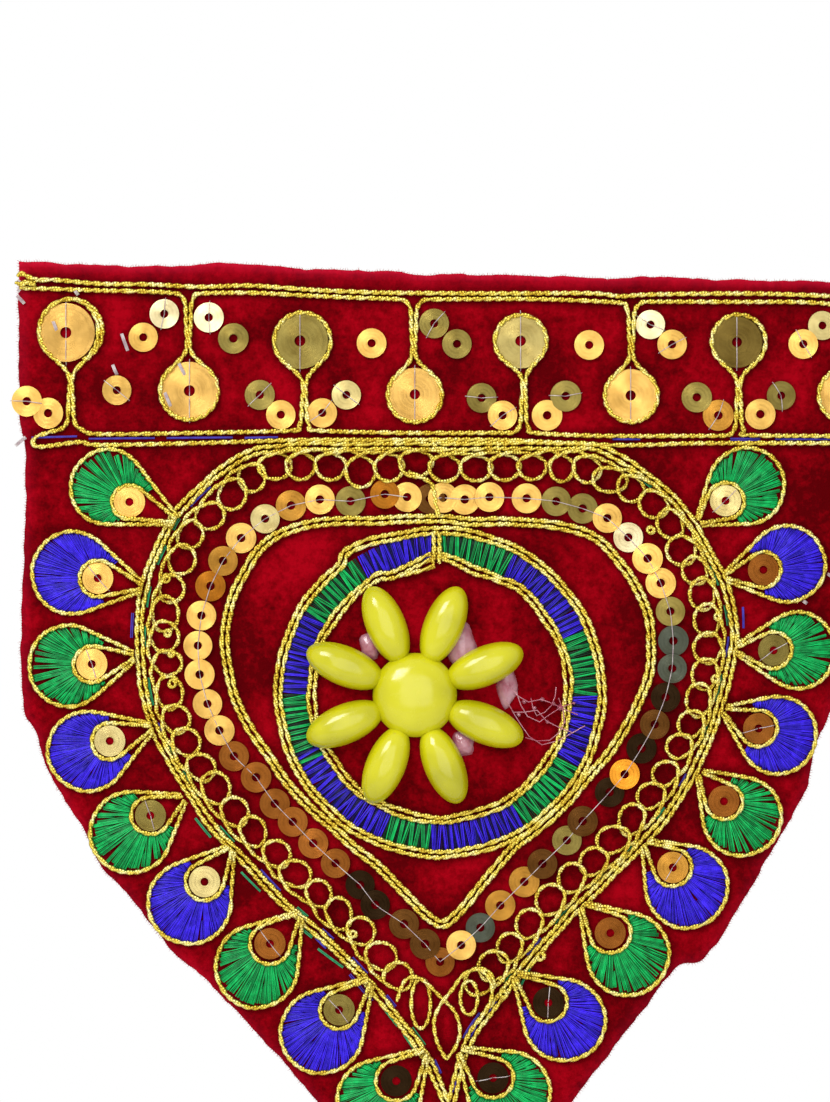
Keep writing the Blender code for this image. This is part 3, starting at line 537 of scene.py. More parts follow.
def under_thread():
    """Loose ends of violet and green floss that peek out beside the cord."""
    made, tree, surface = material("loose_ends_of_rayon_floss", Roughness=0.5, IOR=1.53)
    place = node(tree, "ShaderNodeTexCoord")["Object"]
    tone = node(tree, "ShaderNodeAttribute", attribute_name="tone")["Fac"]
    fleck = node(tree, "ShaderNodeTexNoise", {"Vector": place, "Scale": per(0.8)})[0]
    violet = node(tree, "ShaderNodeMix", {0: fleck, 6: "#1c0c70", 7: "#4a3ad0"}, data_type="RGBA")[2]
    green = node(tree, "ShaderNodeMix", {0: fleck, 6: "#00502e", 7: "#22b878"}, data_type="RGBA")[2]
    colour = node(tree, "ShaderNodeMix", {0: tone, 6: violet, 7: green}, data_type="RGBA")[2]
    tree.links.new(colour, surface["Base Color"])
    return made


def hot_glue():
    """Hot-melt glue: clear and glossy, pink from the velvet under it."""
    made, tree, surface = material(
        "clear_hot_melt_glue", Roughness=0.1, IOR=1.48, Transmission_Weight=0.45, Coat_Weight=0.6,
        Coat_Roughness=0.05,
    )
    place = node(tree, "ShaderNodeTexCoord")["Object"]
    cloud = node(tree, "ShaderNodeTexNoise", {"Vector": place, "Scale": per(3)})[0]
    tint = node(tree, "ShaderNodeValToRGB", {"Fac": cloud}, ((0.3, "#c4526c"), (0.7, "#f0b4c2")))[0]
    tree.links.new(tint, surface["Base Color"])
    ripple = node(tree, "ShaderNodeTexNoise", {"Vector": place, "Scale": per(1.6), "Detail": 2.0})[0]
    bump = node(tree, "ShaderNodeBump", {"Height": ripple, "Distance": 0.5 * MM})[0]
    tree.links.new(bump, surface["Normal"])
    return made


def moulded_plastic():
    """Glossy moulded ABS, lemon yellow, with faint flow and a few rubs."""
    made, tree, surface = material(
        "glossy_moulded_yellow_abs", IOR=1.54, Coat_Weight=0.2, Coat_Roughness=0.15,
    )
    place = node(tree, "ShaderNodeTexCoord")["Object"]
    flow = node(tree, "ShaderNodeTexNoise", {"Vector": place, "Scale": per(9)})[0]
    rubs = node(tree, "ShaderNodeTexNoise", {"Vector": place, "Scale": per(1.1), "Detail": 4.0})[0]
    tint = node(
        tree, "ShaderNodeValToRGB", {"Fac": flow}, ((0.3, "#b2ae08"), (0.55, "#cdc80e"), (0.8, "#d8d41e")),
    )[0]
    gloss = node(tree, "ShaderNodeValToRGB", {"Fac": rubs}, ((0.35, "#606060"), (0.8, "#a4a4a4")))[0]
    tree.links.new(tint, surface["Base Color"])
    tree.links.new(gloss, surface["Roughness"])
    bump = node(tree, "ShaderNodeBump", {"Height": rubs, "Distance": 0.02 * MM})[0]
    tree.links.new(bump, surface["Normal"])
    return made


# Trees of nodes that lay and repeat
def new_tree(name, inputs):
    """An empty Geometry Nodes tree with named inputs, and its input sockets by name."""
    tree = bpy.data.node_groups.new(name, "GeometryNodeTree")
    tree.interface.new_socket("Geometry", in_out="INPUT", socket_type="NodeSocketGeometry")
    for label, kind in inputs:
        tree.interface.new_socket(label, in_out="INPUT", socket_type=f"NodeSocket{kind}")
    tree.interface.new_socket("Geometry", in_out="OUTPUT", socket_type="NodeSocketGeometry")
    return tree, node(tree, "NodeGroupInput")


def end_tree(tree, geometry, finish, soft=True):
    """The tree's last nodes: real geometry with its shading and its material."""
    real = node(tree, "GeometryNodeRealizeInstances", {"Geometry": geometry})[0]
    shaded = node(tree, "GeometryNodeSetShadeSmooth", {"Geometry": real, "Shade Smooth": soft})[0]
    done = node(tree, "GeometryNodeSetMaterial", {"Geometry": shaded, "Material": finish})[0]
    node(tree, "NodeGroupOutput", {0: done})
    return tree


def moved_aside(tree, geometry, wide, high):
    """The line's points moved across it in the cloth's plane, and away from the cloth."""
    ahead = node(tree, "GeometryNodeInputTangent")[0]
    across = node(tree, "ShaderNodeVectorMath", {0: ahead, 1: (0.0, -1.0, 0.0)}, operation="CROSS_PRODUCT")[0]
    across = node(tree, "ShaderNodeVectorMath", {0: across}, operation="NORMALIZE")[0]
    away = node(tree, "ShaderNodeVectorMath", {0: across, 1: ahead}, operation="CROSS_PRODUCT")[0]
    across = node(tree, "ShaderNodeVectorMath", {0: across, "Scale": wide}, operation="SCALE")[0]
    away = node(tree, "ShaderNodeVectorMath", {0: away, "Scale": high}, operation="SCALE")[0]
    shift = node(tree, "ShaderNodeVectorMath", {0: across, 1: away}, operation="ADD")[0]
    return node(tree, "GeometryNodeSetPosition", {"Geometry": geometry, "Offset": shift})[0]


def twisted_cord_tree():
    """Two plies wound round each other along every line of the mesh."""
    tree, given = new_tree("twisted_cord", (
        ("Step", "Float"), ("Ply radius", "Float"), ("Ply offset", "Float"), ("Lay", "Float"),
        ("Material", "Material"),
    ))
    line = node(tree, "GeometryNodeMeshToCurve", {"Mesh": given["Geometry"]})[0]
    line = node(tree, "GeometryNodeResampleCurve", {"Curve": line, "Length": given["Step"]}, mode="LENGTH")[0]
    plies = node(tree, "GeometryNodeDuplicateElements", {"Geometry": line, "Amount": 2}, domain="SPLINE")
    run = node(tree, "GeometryNodeSplineParameter")["Length"]
    place = node(tree, "GeometryNodeInputPosition")[0]
    uneven = node(tree, "ShaderNodeTexNoise", {"Vector": place, "Scale": per(7), "Detail": 1.0})[0]
    turns = node(tree, "ShaderNodeMath", {0: run, 1: given["Lay"]}, operation="DIVIDE")[0]
    turns = node(tree, "ShaderNodeMath", {0: turns, 1: 2 * math.pi}, operation="MULTIPLY")[0]
    turns = node(
        tree, "ShaderNodeMath", {0: plies["Duplicate Index"], 1: math.pi, 2: turns}, operation="MULTIPLY_ADD",
    )[0]
    turns = node(tree, "ShaderNodeMath", {0: uneven, 1: 9.0, 2: turns}, operation="MULTIPLY_ADD")[0]
    wide, high = (
        node(tree, "ShaderNodeMath", {
            0: node(tree, "ShaderNodeMath", {0: turns}, operation=wave)[0], 1: given["Ply offset"],
        }, operation="MULTIPLY")[0]
        for wave in ("COSINE", "SINE")
    )
    wound = moved_aside(tree, plies["Geometry"], wide, high)
    wound = node(
        tree, "GeometryNodeStoreNamedAttribute", {"Geometry": wound, "Name": "along", "Value": run},
        data_type="FLOAT", domain="POINT",
    )[0]
    section = node(
        tree, "GeometryNodeCurvePrimitiveCircle", {"Resolution": 6, "Radius": given["Ply radius"]},
    )[0]
    made = node(
        tree, "GeometryNodeCurveToMesh", {"Curve": wound, "Profile Curve": section, "Fill Caps": True},
    )[0]
    return end_tree(tree, made, given["Material"])


def laid_thread_tree():
    """Several threads side by side along every line of the mesh, bowed up in the middle."""
    tree, given = new_tree("laid_threads", (
        ("Points", "Int"), ("Threads", "Int"), ("Spacing", "Float"), ("Thread radius", "Float"),
        ("Bow", "Float"), ("Unevenness", "Float"), ("Material", "Material"), ("Seed", "Int"),
    ))
    line = node(tree, "GeometryNodeMeshToCurve", {"Mesh": given["Geometry"]})[0]
    line = node(tree, "GeometryNodeResampleCurve", {"Curve": line, "Count": given["Points"]}, mode="COUNT")[0]
    copies = node(
        tree, "GeometryNodeDuplicateElements", {"Geometry": line, "Amount": given["Threads"]},
        domain="SPLINE",
    )
    shades = node(
        tree, "FunctionNodeRandomValue", {2: 0.2, 3: 1.0, "Seed": given["Seed"]}, data_type="FLOAT",
    )[1]
    threads = node(
        tree, "GeometryNodeStoreNamedAttribute",
        {"Geometry": copies["Geometry"], "Name": "shade", "Value": shades}, data_type="FLOAT", domain="CURVE",
    )[0]
    middle = node(tree, "ShaderNodeMath", {0: given["Threads"], 1: 1.0}, operation="SUBTRACT")[0]
    slot = node(
        tree, "ShaderNodeMath", {0: middle, 1: -0.5, 2: copies["Duplicate Index"]}, operation="MULTIPLY_ADD",
    )[0]
    shade = node(tree, "GeometryNodeInputNamedAttribute", {"Name": "shade"}, data_type="FLOAT")["Attribute"]
    loose = node(tree, "ShaderNodeMath", {0: shade, 1: 0.6}, operation="SUBTRACT")[0]
    loose = node(tree, "ShaderNodeMath", {0: loose, 1: given["Unevenness"]}, operation="MULTIPLY")[0]
    factor = node(tree, "GeometryNodeSplineParameter")["Factor"]
    left = node(tree, "ShaderNodeMath", {0: 1.0, 1: factor}, operation="SUBTRACT")[0]
    arch = node(tree, "ShaderNodeMath", {0: factor, 1: left}, operation="MULTIPLY")[0]
    arch = node(tree, "ShaderNodeMath", {0: arch, 1: 4.0}, operation="MULTIPLY")[0]
    wide = node(tree, "ShaderNodeMath", {0: slot, 1: given["Spacing"], 2: loose}, operation="MULTIPLY_ADD")[0]
    high = node(tree, "ShaderNodeMath", {0: arch, 1: given["Bow"], 2: loose}, operation="MULTIPLY_ADD")[0]
    threads = moved_aside(tree, threads, wide, high)
    section = node(
        tree, "GeometryNodeCurvePrimitiveCircle", {"Resolution": 5, "Radius": given["Thread radius"]},
    )[0]
    made = node(
        tree, "GeometryNodeCurveToMesh", {"Curve": threads, "Profile Curve": section, "Fill Caps": True},
    )[0]
    return end_tree(tree, made, given["Material"])


def sequin_tree():
    """A stamped washer of foil at each point, sized and tilted by the point's own values."""
    tree, given = new_tree("sequins", (
        ("Radius", "Float"), ("Hole", "Float"), ("Thickness", "Float"), ("Dish", "Float"),
        ("Material", "Material"),
    ))
    middle = node(tree, "ShaderNodeMath", {0: given["Radius"], 1: given["Hole"]}, operation="ADD")[0]
    middle = node(tree, "ShaderNodeMath", {0: middle, 1: 0.5}, operation="MULTIPLY")[0]
    width = node(tree, "ShaderNodeMath", {0: given["Radius"], 1: given["Hole"]}, operation="SUBTRACT")[0]
    rim = node(tree, "GeometryNodeCurvePrimitiveCircle", {"Resolution": 32, "Radius": middle})[0]
    section = node(
        tree, "GeometryNodeCurvePrimitiveQuadrilateral", {"Width": width, "Height": given["Thickness"]},
    )[0]
    slope = node(tree, "ShaderNodeCombineXYZ", {"Z": given["Dish"]})[0]
    section = node(tree, "GeometryNodeTransform", {"Geometry": section, "Rotation": slope})[0]
    washer = node(tree, "GeometryNodeCurveToMesh", {"Curve": rim, "Profile Curve": section})[0]
    face = node(tree, "GeometryNodeInputPosition")[0]
    washer = node(
        tree, "GeometryNodeStoreNamedAttribute", {"Geometry": washer, "Name": "face", "Value": face},
        data_type="FLOAT_VECTOR", domain="POINT",
    )[0]
    tilt, size = (
        node(tree, "GeometryNodeInputNamedAttribute", {"Name": name}, data_type=kind)["Attribute"]
        for name, kind in (("tilt", "FLOAT_VECTOR"), ("size", "FLOAT"))
    )
    points = node(tree, "GeometryNodeMeshToPoints", {"Mesh": given["Geometry"]})[0]
    set_out = node(
        tree, "GeometryNodeInstanceOnPoints",
        {"Points": points, "Instance": washer, "Rotation": tilt, "Scale": size},
    )[0]
    return end_tree(tree, set_out, given["Material"], soft=False)


def pile_fringe_tree():
    """Loose pile along the cut edge: short tapered hairs at uneven angles."""
    tree, given = new_tree("pile_fringe", (
        ("Pitch", "Float"), ("Length", "Float"), ("Hair radius", "Float"), ("Material", "Material"),
        ("Seed", "Int"),
    ))
    line = node(tree, "GeometryNodeMeshToCurve", {"Mesh": given["Geometry"]})[0]
    points = node(
        tree, "GeometryNodeCurveToPoints", {"Curve": line, "Length": given["Pitch"]}, mode="LENGTH",
    )[0]
    hair = node(
        tree, "GeometryNodeMeshCone",
        {"Vertices": 3, "Side Segments": 2, "Radius Top": 0.0, "Radius Bottom": given["Hair radius"],
         "Depth": given["Length"]},
        fill_type="TRIANGLE_FAN",
    )[0]
    outward = node(
        tree, "GeometryNodeInputNamedAttribute", {"Name": "outward"}, data_type="FLOAT_VECTOR",
    )["Attribute"]
    stray = node(
        tree, "FunctionNodeRandomValue",
        {0: (-0.9, -0.9, -0.9), 1: (0.9, 0.9, 0.9), "Seed": given["Seed"]}, data_type="FLOAT_VECTOR",
    )[0]
    way = node(tree, "ShaderNodeVectorMath", {0: outward, 1: stray}, operation="ADD")[0]
    turn = node(tree, "FunctionNodeAlignRotationToVector", {"Vector": way}, axis="Z")[0]
    size = node(
        tree, "FunctionNodeRandomValue", {2: 0.3, 3: 1.2, "Seed": given["Seed"]}, data_type="FLOAT",
    )[1]
    hairs = node(
        tree, "GeometryNodeInstanceOnPoints",
        {"Points": points, "Instance": hair, "Rotation": turn, "Scale": size},
    )[0]
    return end_tree(tree, hairs, given["Material"])


def grown(name, lines, tree, values, attributes=None):
    """The plain mesh that a tree makes from lines or single points laid on the cloth.

    Each line is (points, closed); attributes are (name, kind, one value for each point of all lines).
    """
    places, edges = [], []
    for points, closed in lines:
        first = len(places)
        count = len(points)
        places.extend(points)
        edges.extend((first + step, first + step + 1) for step in range(count - 1))
        if closed:
            edges.append((first + count - 1, first))
    mesh = bpy.data.meshes.new(name)
    mesh.from_pydata([tuple(place) for place in places], edges, [])
    for label, kind, numbers in attributes or ():
        column = mesh.attributes.new(label, kind, "POINT")
        field = {"FLOAT": "value", "FLOAT_VECTOR": "vector", "FLOAT_COLOR": "color"}[kind]
        column.data.foreach_set(field, np.asarray(numbers, float).ravel())
    start = bpy.data.objects.new(f"{name}_lines", mesh)
    bpy.context.scene.collection.objects.link(start)
    grower = start.modifiers.new("tree", "NODES")
    grower.node_group = tree
    for item in tree.interface.items_tree:
        if item.in_out == "INPUT" and item.name in values:
            grower[item.identifier] = values[item.name]
    result = bpy.data.meshes.new_from_object(start.evaluated_get(bpy.context.evaluated_depsgraph_get()))
    start.modifiers.clear()
    bpy.data.objects.remove(start, do_unlink=True)
    return placed(name, result)


def placed(name, mesh):
    """A mesh as a piece at the origin."""
    mesh.name = name
    piece = bpy.data.objects.new(name, mesh)
    bpy.context.scene.collection.objects.link(piece)
    return piece


def sewn(piece, slot, *nodes):
    """The piece rides with the cloth and stands for these nodes; its slot is not used."""
    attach(piece, BODY)
    if nodes:
        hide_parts(*nodes)
    return piece


# The cords' lines
def rail_with_loops(rail, way):
    """One strand of the band that turns off along each stem, rounds its loop and comes back."""
    sign = 1 if way == "up" else -1
    rail_x, rail_z = np.array(rail).T
    line, reached = [], -math.inf
    for kind, _, _, _, x, z, radius, stem, _ in LOLLIPOPS:
        if kind != way:
            continue
        line += [point for point in rail if reached < point[0] < stem - 2.4]
        foot = float(np.interp(stem, rail_x, rail_z))
        tip = z - sign * radius * LOOP_POINT
        out = ((1.9, foot + sign * 0.1), (0.95, foot + sign * 0.75), (0.5, foot + sign * 2.0),
               (0.4, (foot + tip) / 2), (0.4, tip))
        middle = radius - 0.5
        start = -sign * (math.pi / 2 + LOOP_OPEN)
        loop = circle(x, z, middle, start=start, turn=-sign * 2 * (math.pi - LOOP_OPEN), pitch=1.2)
        line += [(stem - aside, height) for aside, height in out]
        line += [tuple(point) for point in loop]
        line += [(stem + aside, height) for aside, height in out[::-1]]
        reached = stem + 2.4
    line += [point for point in rail if reached < point[0]]
    return smooth(line)


# The curls: how far the cord's middle lies inside each outline, how much their size and shape vary, how much
# higher each ends than it starts, and how many points each has.
CURL_INSET, CURL_VARIES, CURL_SKEW = 0.3, 0.05, 0.07
CURL_CLIMBS = 0.35
CURL_POINTS = 20


def curled(curls):
    """A cord that goes on from curl to curl; each lies with its back on the one before."""
    centres = np.array(curls)[:, :2]
    count = len(curls)
    line = []
    for index, (x, z, radius) in enumerate(curls):
        here = centres[index]
        before = (centres[max(index - 1, 0)] + here) / 2
        after = (centres[min(index + 1, count - 1)] + here) / 2
        ahead = centres[min(index + 1, count - 1)] - centres[max(index - 1, 0)]
        ahead /= np.linalg.norm(ahead)
        out = np.array([-ahead[1], ahead[0]])
        if out @ (here - np.array([RING_X, RING_Z])) < 0:
            out = -out
        turn = 1.0 if -out[1] * ahead[0] + out[0] * ahead[1] > 0 else -1.0
        base = math.atan2(out[1], out[0])
        size = (radius - CURL_INSET) * (1 + CURL_VARIES * rng.standard_normal())
        skew = CURL_SKEW * rng.standard_normal()
        for step in range(CURL_POINTS):
            share = step / CURL_POINTS
            angle = base + turn * 2 * math.pi * share
            way = np.array([math.cos(angle), math.sin(angle)])
            come, go = 1 - fade(share, 0.0, 0.22), fade(share, 0.78, 1.0)
            centre = here + (before - here) * come + (after - here) * go
            climb = CURL_CLIMBS * (fade(share, 0.1, 0.9) - 0.5)
            high = CORD_LIES + OVER_CORD * 0.5 * (1 - way @ ahead) + climb
            line.append((*(centre + size * way * (1 + skew * math.cos(2 * angle))), high))
    return smooth(line)


def ellipse_of_cord(x, z, wide, high, lift):
    return lifted(circle(x, z, wide - 0.35, high - 0.35), CORD_LIES + lift)


def drop_line(x, z, radius, root, half):
    """A round head drawn to a root: an open line from one side of the root round to the other."""
    head, root = np.array([x, z]), np.array(root)
    across = np.array([root[1] - head[1], head[0] - root[0]])
    across = -across / np.linalg.norm(across) * half
    ends = []
    for side in (1, -1):
        reach = root + side * across - head
        toward = math.atan2(reach[1], reach[0])
        ends.append((root + side * across, toward + side * math.acos(radius / np.linalg.norm(reach))))
    start, finish = ends[0][1], ends[1][1]
    turn = (finish - start) % (2 * math.pi)
    line = np.vstack([ends[0][0], circle(x, z, radius, start=start, turn=turn), ends[1][0]])
    line = evened(line, 0.4)
    swell = np.sin(np.linspace(0, np.pi, len(line)))
    return beside(line, wander(line, 0.12) * swell)


def lifted_at_root(line, root, lift):
    away = np.linalg.norm(line - np.array(root), axis=1)
    return lifted(line, CORD_LIES + lift * (1 - fade(away, 0.8, 3.6)))


def reach_to(line, origin, angle):
    """How far a closed line lies from a place inside it, one way."""
    way = np.array([math.cos(angle), math.sin(angle)])
    start = line - origin
    span = np.roll(line, -1, axis=0) - line
    cross = way[0] * span[:, 1] - way[1] * span[:, 0]
    cross = np.where(np.abs(cross) < 1e-9, 1e-9, cross)
    far = (start[:, 0] * span[:, 1] - start[:, 1] * span[:, 0]) / cross
    share = (start[:, 0] * way[1] - start[:, 1] * way[0]) / cross
    hits = far[(share >= 0) & (share <= 1) & (far > 0)]
    return hits.max() if len(hits) else 0.0


def ring_line(z, radius, own, gap):
    """A closed ring that leaves its circle between two angles, in degrees, for points of its own."""
    angles = np.radians(np.arange(gap[1], gap[0] + 360, 8))
    round_part = np.column_stack([RING_X + radius * np.cos(angles), z + radius * np.sin(angles)])
    return smooth(np.vstack([round_part, own]), closed=True)


heart_left = smooth(OUTER_LEFT)
heart_right = smooth(OUTER_RIGHT)
heart_inner = smooth(INNER_HEART, closed=True)
ring_outer = ring_line(RING_Z, RING_OUTER, OUTER_CORNER, (99, 128))
ring_inner = ring_line(RING_Z + 0.3, RING_INNER, INNER_ROOF, (57, 118))
ring_inner = beside(ring_inner, wander(ring_inner, 0.2), closed=True)

# Short bits of cord: the frayed ends at the band's left, the bit that drops to the inner heart, and the link
# inside the ring: each bit's lift and its x and z.
FRAYED_ENDS = (
    (0.3, ((-69.9, -0.4), (-69.2, 0.1), (-68.1, -0.5), (-66.6, -1.0))),
    (0.6, ((-70.2, -1.4), (-69.3, -1.8), (-68.2, -1.5), (-66.9, -1.9))),
)
HEART_DROP = ((0.4, ((-4.8, -33), (-2.5, -34), (-0.8, -35.2), (-0.2, -38.5), (0.3, -40.6))),)
RING_LINK = (
    (0.5, ((-0.6, -43.2), (-0.5, -46), (-0.7, -48.2))),
    (0.5, ((0.4, -43.2), (0.4, -46), (0.3, -48.2))),
    (0.6, ((-0.4, -48.6), (-2.2, -49.3), (-6.2, -50.3))),
)


def bits(rows):
    return [lifted(smooth(points), CORD_LIES + lift) for lift, points in rows]


cords = {
    "band_head": [
        lifted(smooth(BAND_TOP_UPPER), CORD_LIES),
        lifted(rail_with_loops(BAND_TOP_LOWER, "down"), CORD_LIES), *bits(FRAYED_ENDS),
    ],
    "band_foot": [
        lifted(rail_with_loops(BAND_FOOT_UPPER, "up"), CORD_LIES),
        lifted(smooth(BAND_FOOT_LOWER), CORD_LIES + 0.05),
        lifted(circle(-61, -9.6, 4.6, 5.4, start=-1.1, turn=2.6), CORD_LIES + 0.1),
    ],
    "heart_outer": twin(heart_left) + twin(heart_right, high=CORD_LIES + 0.1),
    "heart_inner": twin(heart_inner, closed=True) + bits(HEART_DROP),
    "ring_outer": twin(ring_outer, closed=True),
    "ring_inner": twin(ring_inner, closed=True) + bits(RING_LINK),
    "curls_left": [curled(CURLS_LEFT)],
    "curls_right": [curled(CURLS_RIGHT)],
}
for number, (x, z, wide, high) in enumerate(TIP_CURLS):
    side = "curls_left" if x < 0 else "curls_right"
    cords[side].append(ellipse_of_cord(x, z, wide, high, 0.15 + 0.4 * number))
for x, z, radius in SMALL_RINGS:
    side = "curls_left" if x < 0 else "curls_right"
    cords[side].append(ellipse_of_cord(x, z, radius, radius, OVER_CORD))
for number, strand in enumerate(LEAF_STRANDS):
    cords["curls_right"].append(lifted(smooth(strand), CORD_LIES + 0.6 + 0.5 * number))

# The eyes' cords: how far their middles lie inside the outlines, how far the root is drawn out and how wide
# it is, and how much higher the inner cord lies, at its root and everywhere.
OUTER_INSET, INNER_INSET = 0.45, 0.15
ROOT_REACH, OUTER_ROOT, INNER_ROOT = 0.8, 0.75, 0.3
INNER_OVER, INNER_RISE = 0.25, 0.12
# The fans: how far they open each way, the least length of a stitch, how far it starts from the inner cord,
# how much its lean varies, the spacing of stitches near the eye, how far each stops short of the cord, and
# how many have a lower stitch between them.
FAN_OPEN = math.radians(124)
SHORTEST = 1.5
STARTS_OFF = 0.35
FAN_LEAN_VARIES = 0.02
FAN_SPACING = {"blue": 0.5, "green": 0.56}
STOPS_SHORT = {"blue": (0.05, 0.35), "green": (0.15, 0.9)}
FILLED = {"blue": 0.95, "green": 0.55}

stitches = {"green": [], "blue": [], "ring": [], "underlay": []}
feather_lines = {"left": [], "right": []}
for name, colour, x, z, radius, root_x, root_z, eye_x, eye_z, eye_radius, _ in FEATHERS:
    root = np.array([root_x, root_z])
    root = root + ROOT_REACH * (root - (x, z)) / np.linalg.norm(root - (x, z))
    outer = drop_line(x, z, radius - OUTER_INSET, root, OUTER_ROOT)
    inner = drop_line(eye_x, eye_z, eye_radius - INNER_INSET, root, INNER_ROOT)
    side = "left" if name[0] == "L" else "right"
    feather_lines[side] += [
        lifted_at_root(outer, root, OVER_CORD),
        lifted_at_root(inner, root, OVER_CORD + INNER_OVER) + (0, 0, INNER_RISE),
    ]
    eye = np.array([eye_x, eye_z])
    away = eye - root
    middle = math.atan2(away[1], away[0])
    spacing = FAN_SPACING[colour]
    angle = middle - FAN_OPEN
    while angle < middle + FAN_OPEN:
        far = reach_to(outer, eye, angle)
        near = reach_to(inner, eye, angle)
        turn = spacing / max(near + (far - near) * 0.35, 2.0)
        if far - near > SHORTEST:
            way = np.array([math.cos(angle), math.sin(angle)])
            lean = rng.normal(0, FAN_LEAN_VARIES)
            tip_way = np.array([math.cos(angle + lean), math.sin(angle + lean)])
            short = rng.uniform(*STOPS_SHORT[colour])
            start, end = eye + way * (near + STARTS_OFF), eye + tip_way * (far - short)
            stitches[colour].append([(*start, SATIN_LIES), (*end, SATIN_LIES - 0.1)])
            if rng.random() < FILLED[colour]:
                between = angle + 0.5 * turn
                way = np.array([math.cos(between), math.sin(between)])
                start = eye + way * (near + (far - near) * rng.uniform(0.3, 0.5))
                end = eye + way * (far - short - 0.1)
                stitches[colour].append([(*start, SATIN_LIES - 0.08), (*end, SATIN_LIES - 0.14)])
        angle += turn * rng.uniform(0.85, 1.15)

# The ring's satin: bundles of thread that lean to and fro, over lower near-black ones that paint shade into
# the gaps.
# Within so many degrees of a change of colour, this share of the bundles takes the other colour.
RING_BUNDLES = 160
BUNDLE_STRAYS = 0.12
RING_LEAN, RING_LEAN_VARIES = math.radians(0.45), 0.004
NEAR_CHANGE, SWAPPED = 2.4, 0.4


def ring_stitch(angle, lean, high):
    """A stitch across the ring: x, z and height of its two ends."""
    return [
        (RING_X + radius * math.cos(angle + aside), RING_Z + radius * math.sin(angle + aside), high)
        for radius, aside in ((SATIN_FROM, -lean), (SATIN_TO, lean))
    ]


ring_tones = []
for index in range(RING_BUNDLES):
    turned = 360 * (index + rng.uniform(-BUNDLE_STRAYS, BUNDLE_STRAYS)) / RING_BUNDLES
    angle = math.radians(90 - turned)
    lean = (RING_LEAN if index % 2 else -RING_LEAN) + rng.normal(0, RING_LEAN_VARIES)
    stitches["ring"].append(ring_stitch(angle, lean, SATIN_LIES))
    colour = next(name for end, name in RING_COLOURS if turned % 360 <= end)
    to_change = min(min(abs(turned - end), 360 - abs(turned - end)) for end, _ in RING_COLOURS)
    swap = to_change < NEAR_CHANGE and rng.random() < SWAPPED
    ring_tones += [float((colour == "green") != swap)] * 2
    stitches["underlay"].append(ring_stitch(angle - math.pi / RING_BUNDLES, 0.0, UNDERLAY_LIES))


# The cloth

# The cut edge: the pitch of its points, the reach and length of its drift, and how uneven the cut is.
EDGE_PITCH = 0.8
EDGE_DRIFT, EDGE_DRIFT_LENGTH, EDGE_UNEVEN = 0.16, 11.0, 0.035
# The velvet's face: the size of its cells, how high the pile puffs up, from how far beside a trim and how
# softly, how uneven it is, and how far it drops at the cut edge.
VELVET_CELL = 1.15
PUFF_HIGH, PUFF_STARTS, PUFF_SOFT, PUFF_UNEVEN = 0.3, 0.7, 1.3, 0.018
EDGE_DROP = 0.35
# How far the painted sheen, a paler tone, reaches in from the edge, and how strong and wide the darker pile
# beside a trim is: pressed pile with painted shade.
EDGE_SHEEN_REACH = 0.7
PRESSED_AND_SHADE, PRESSED_AND_SHADE_REACH = 0.75, 1.1
# The rows of loose pile stand this far below the face.
FRINGE_DEPTHS = (-0.1, 0.35, 0.8)


def cut_edge():
    """The panel's outline, a little uneven where it was cut, as rows of x and z."""
    edge = np.vstack([
        smooth(TOP_EDGE, pitch=EDGE_PITCH)[:-1], smooth(RIGHT_EDGE, pitch=EDGE_PITCH),
        smooth(LEFT_EDGE + TOP_EDGE[:1], pitch=EDGE_PITCH)[:-1],
    ])
    drift = wander(edge, EDGE_DRIFT, EDGE_DRIFT_LENGTH)
    return beside(edge, drift + rng.normal(0, EDGE_UNEVEN, len(edge)))


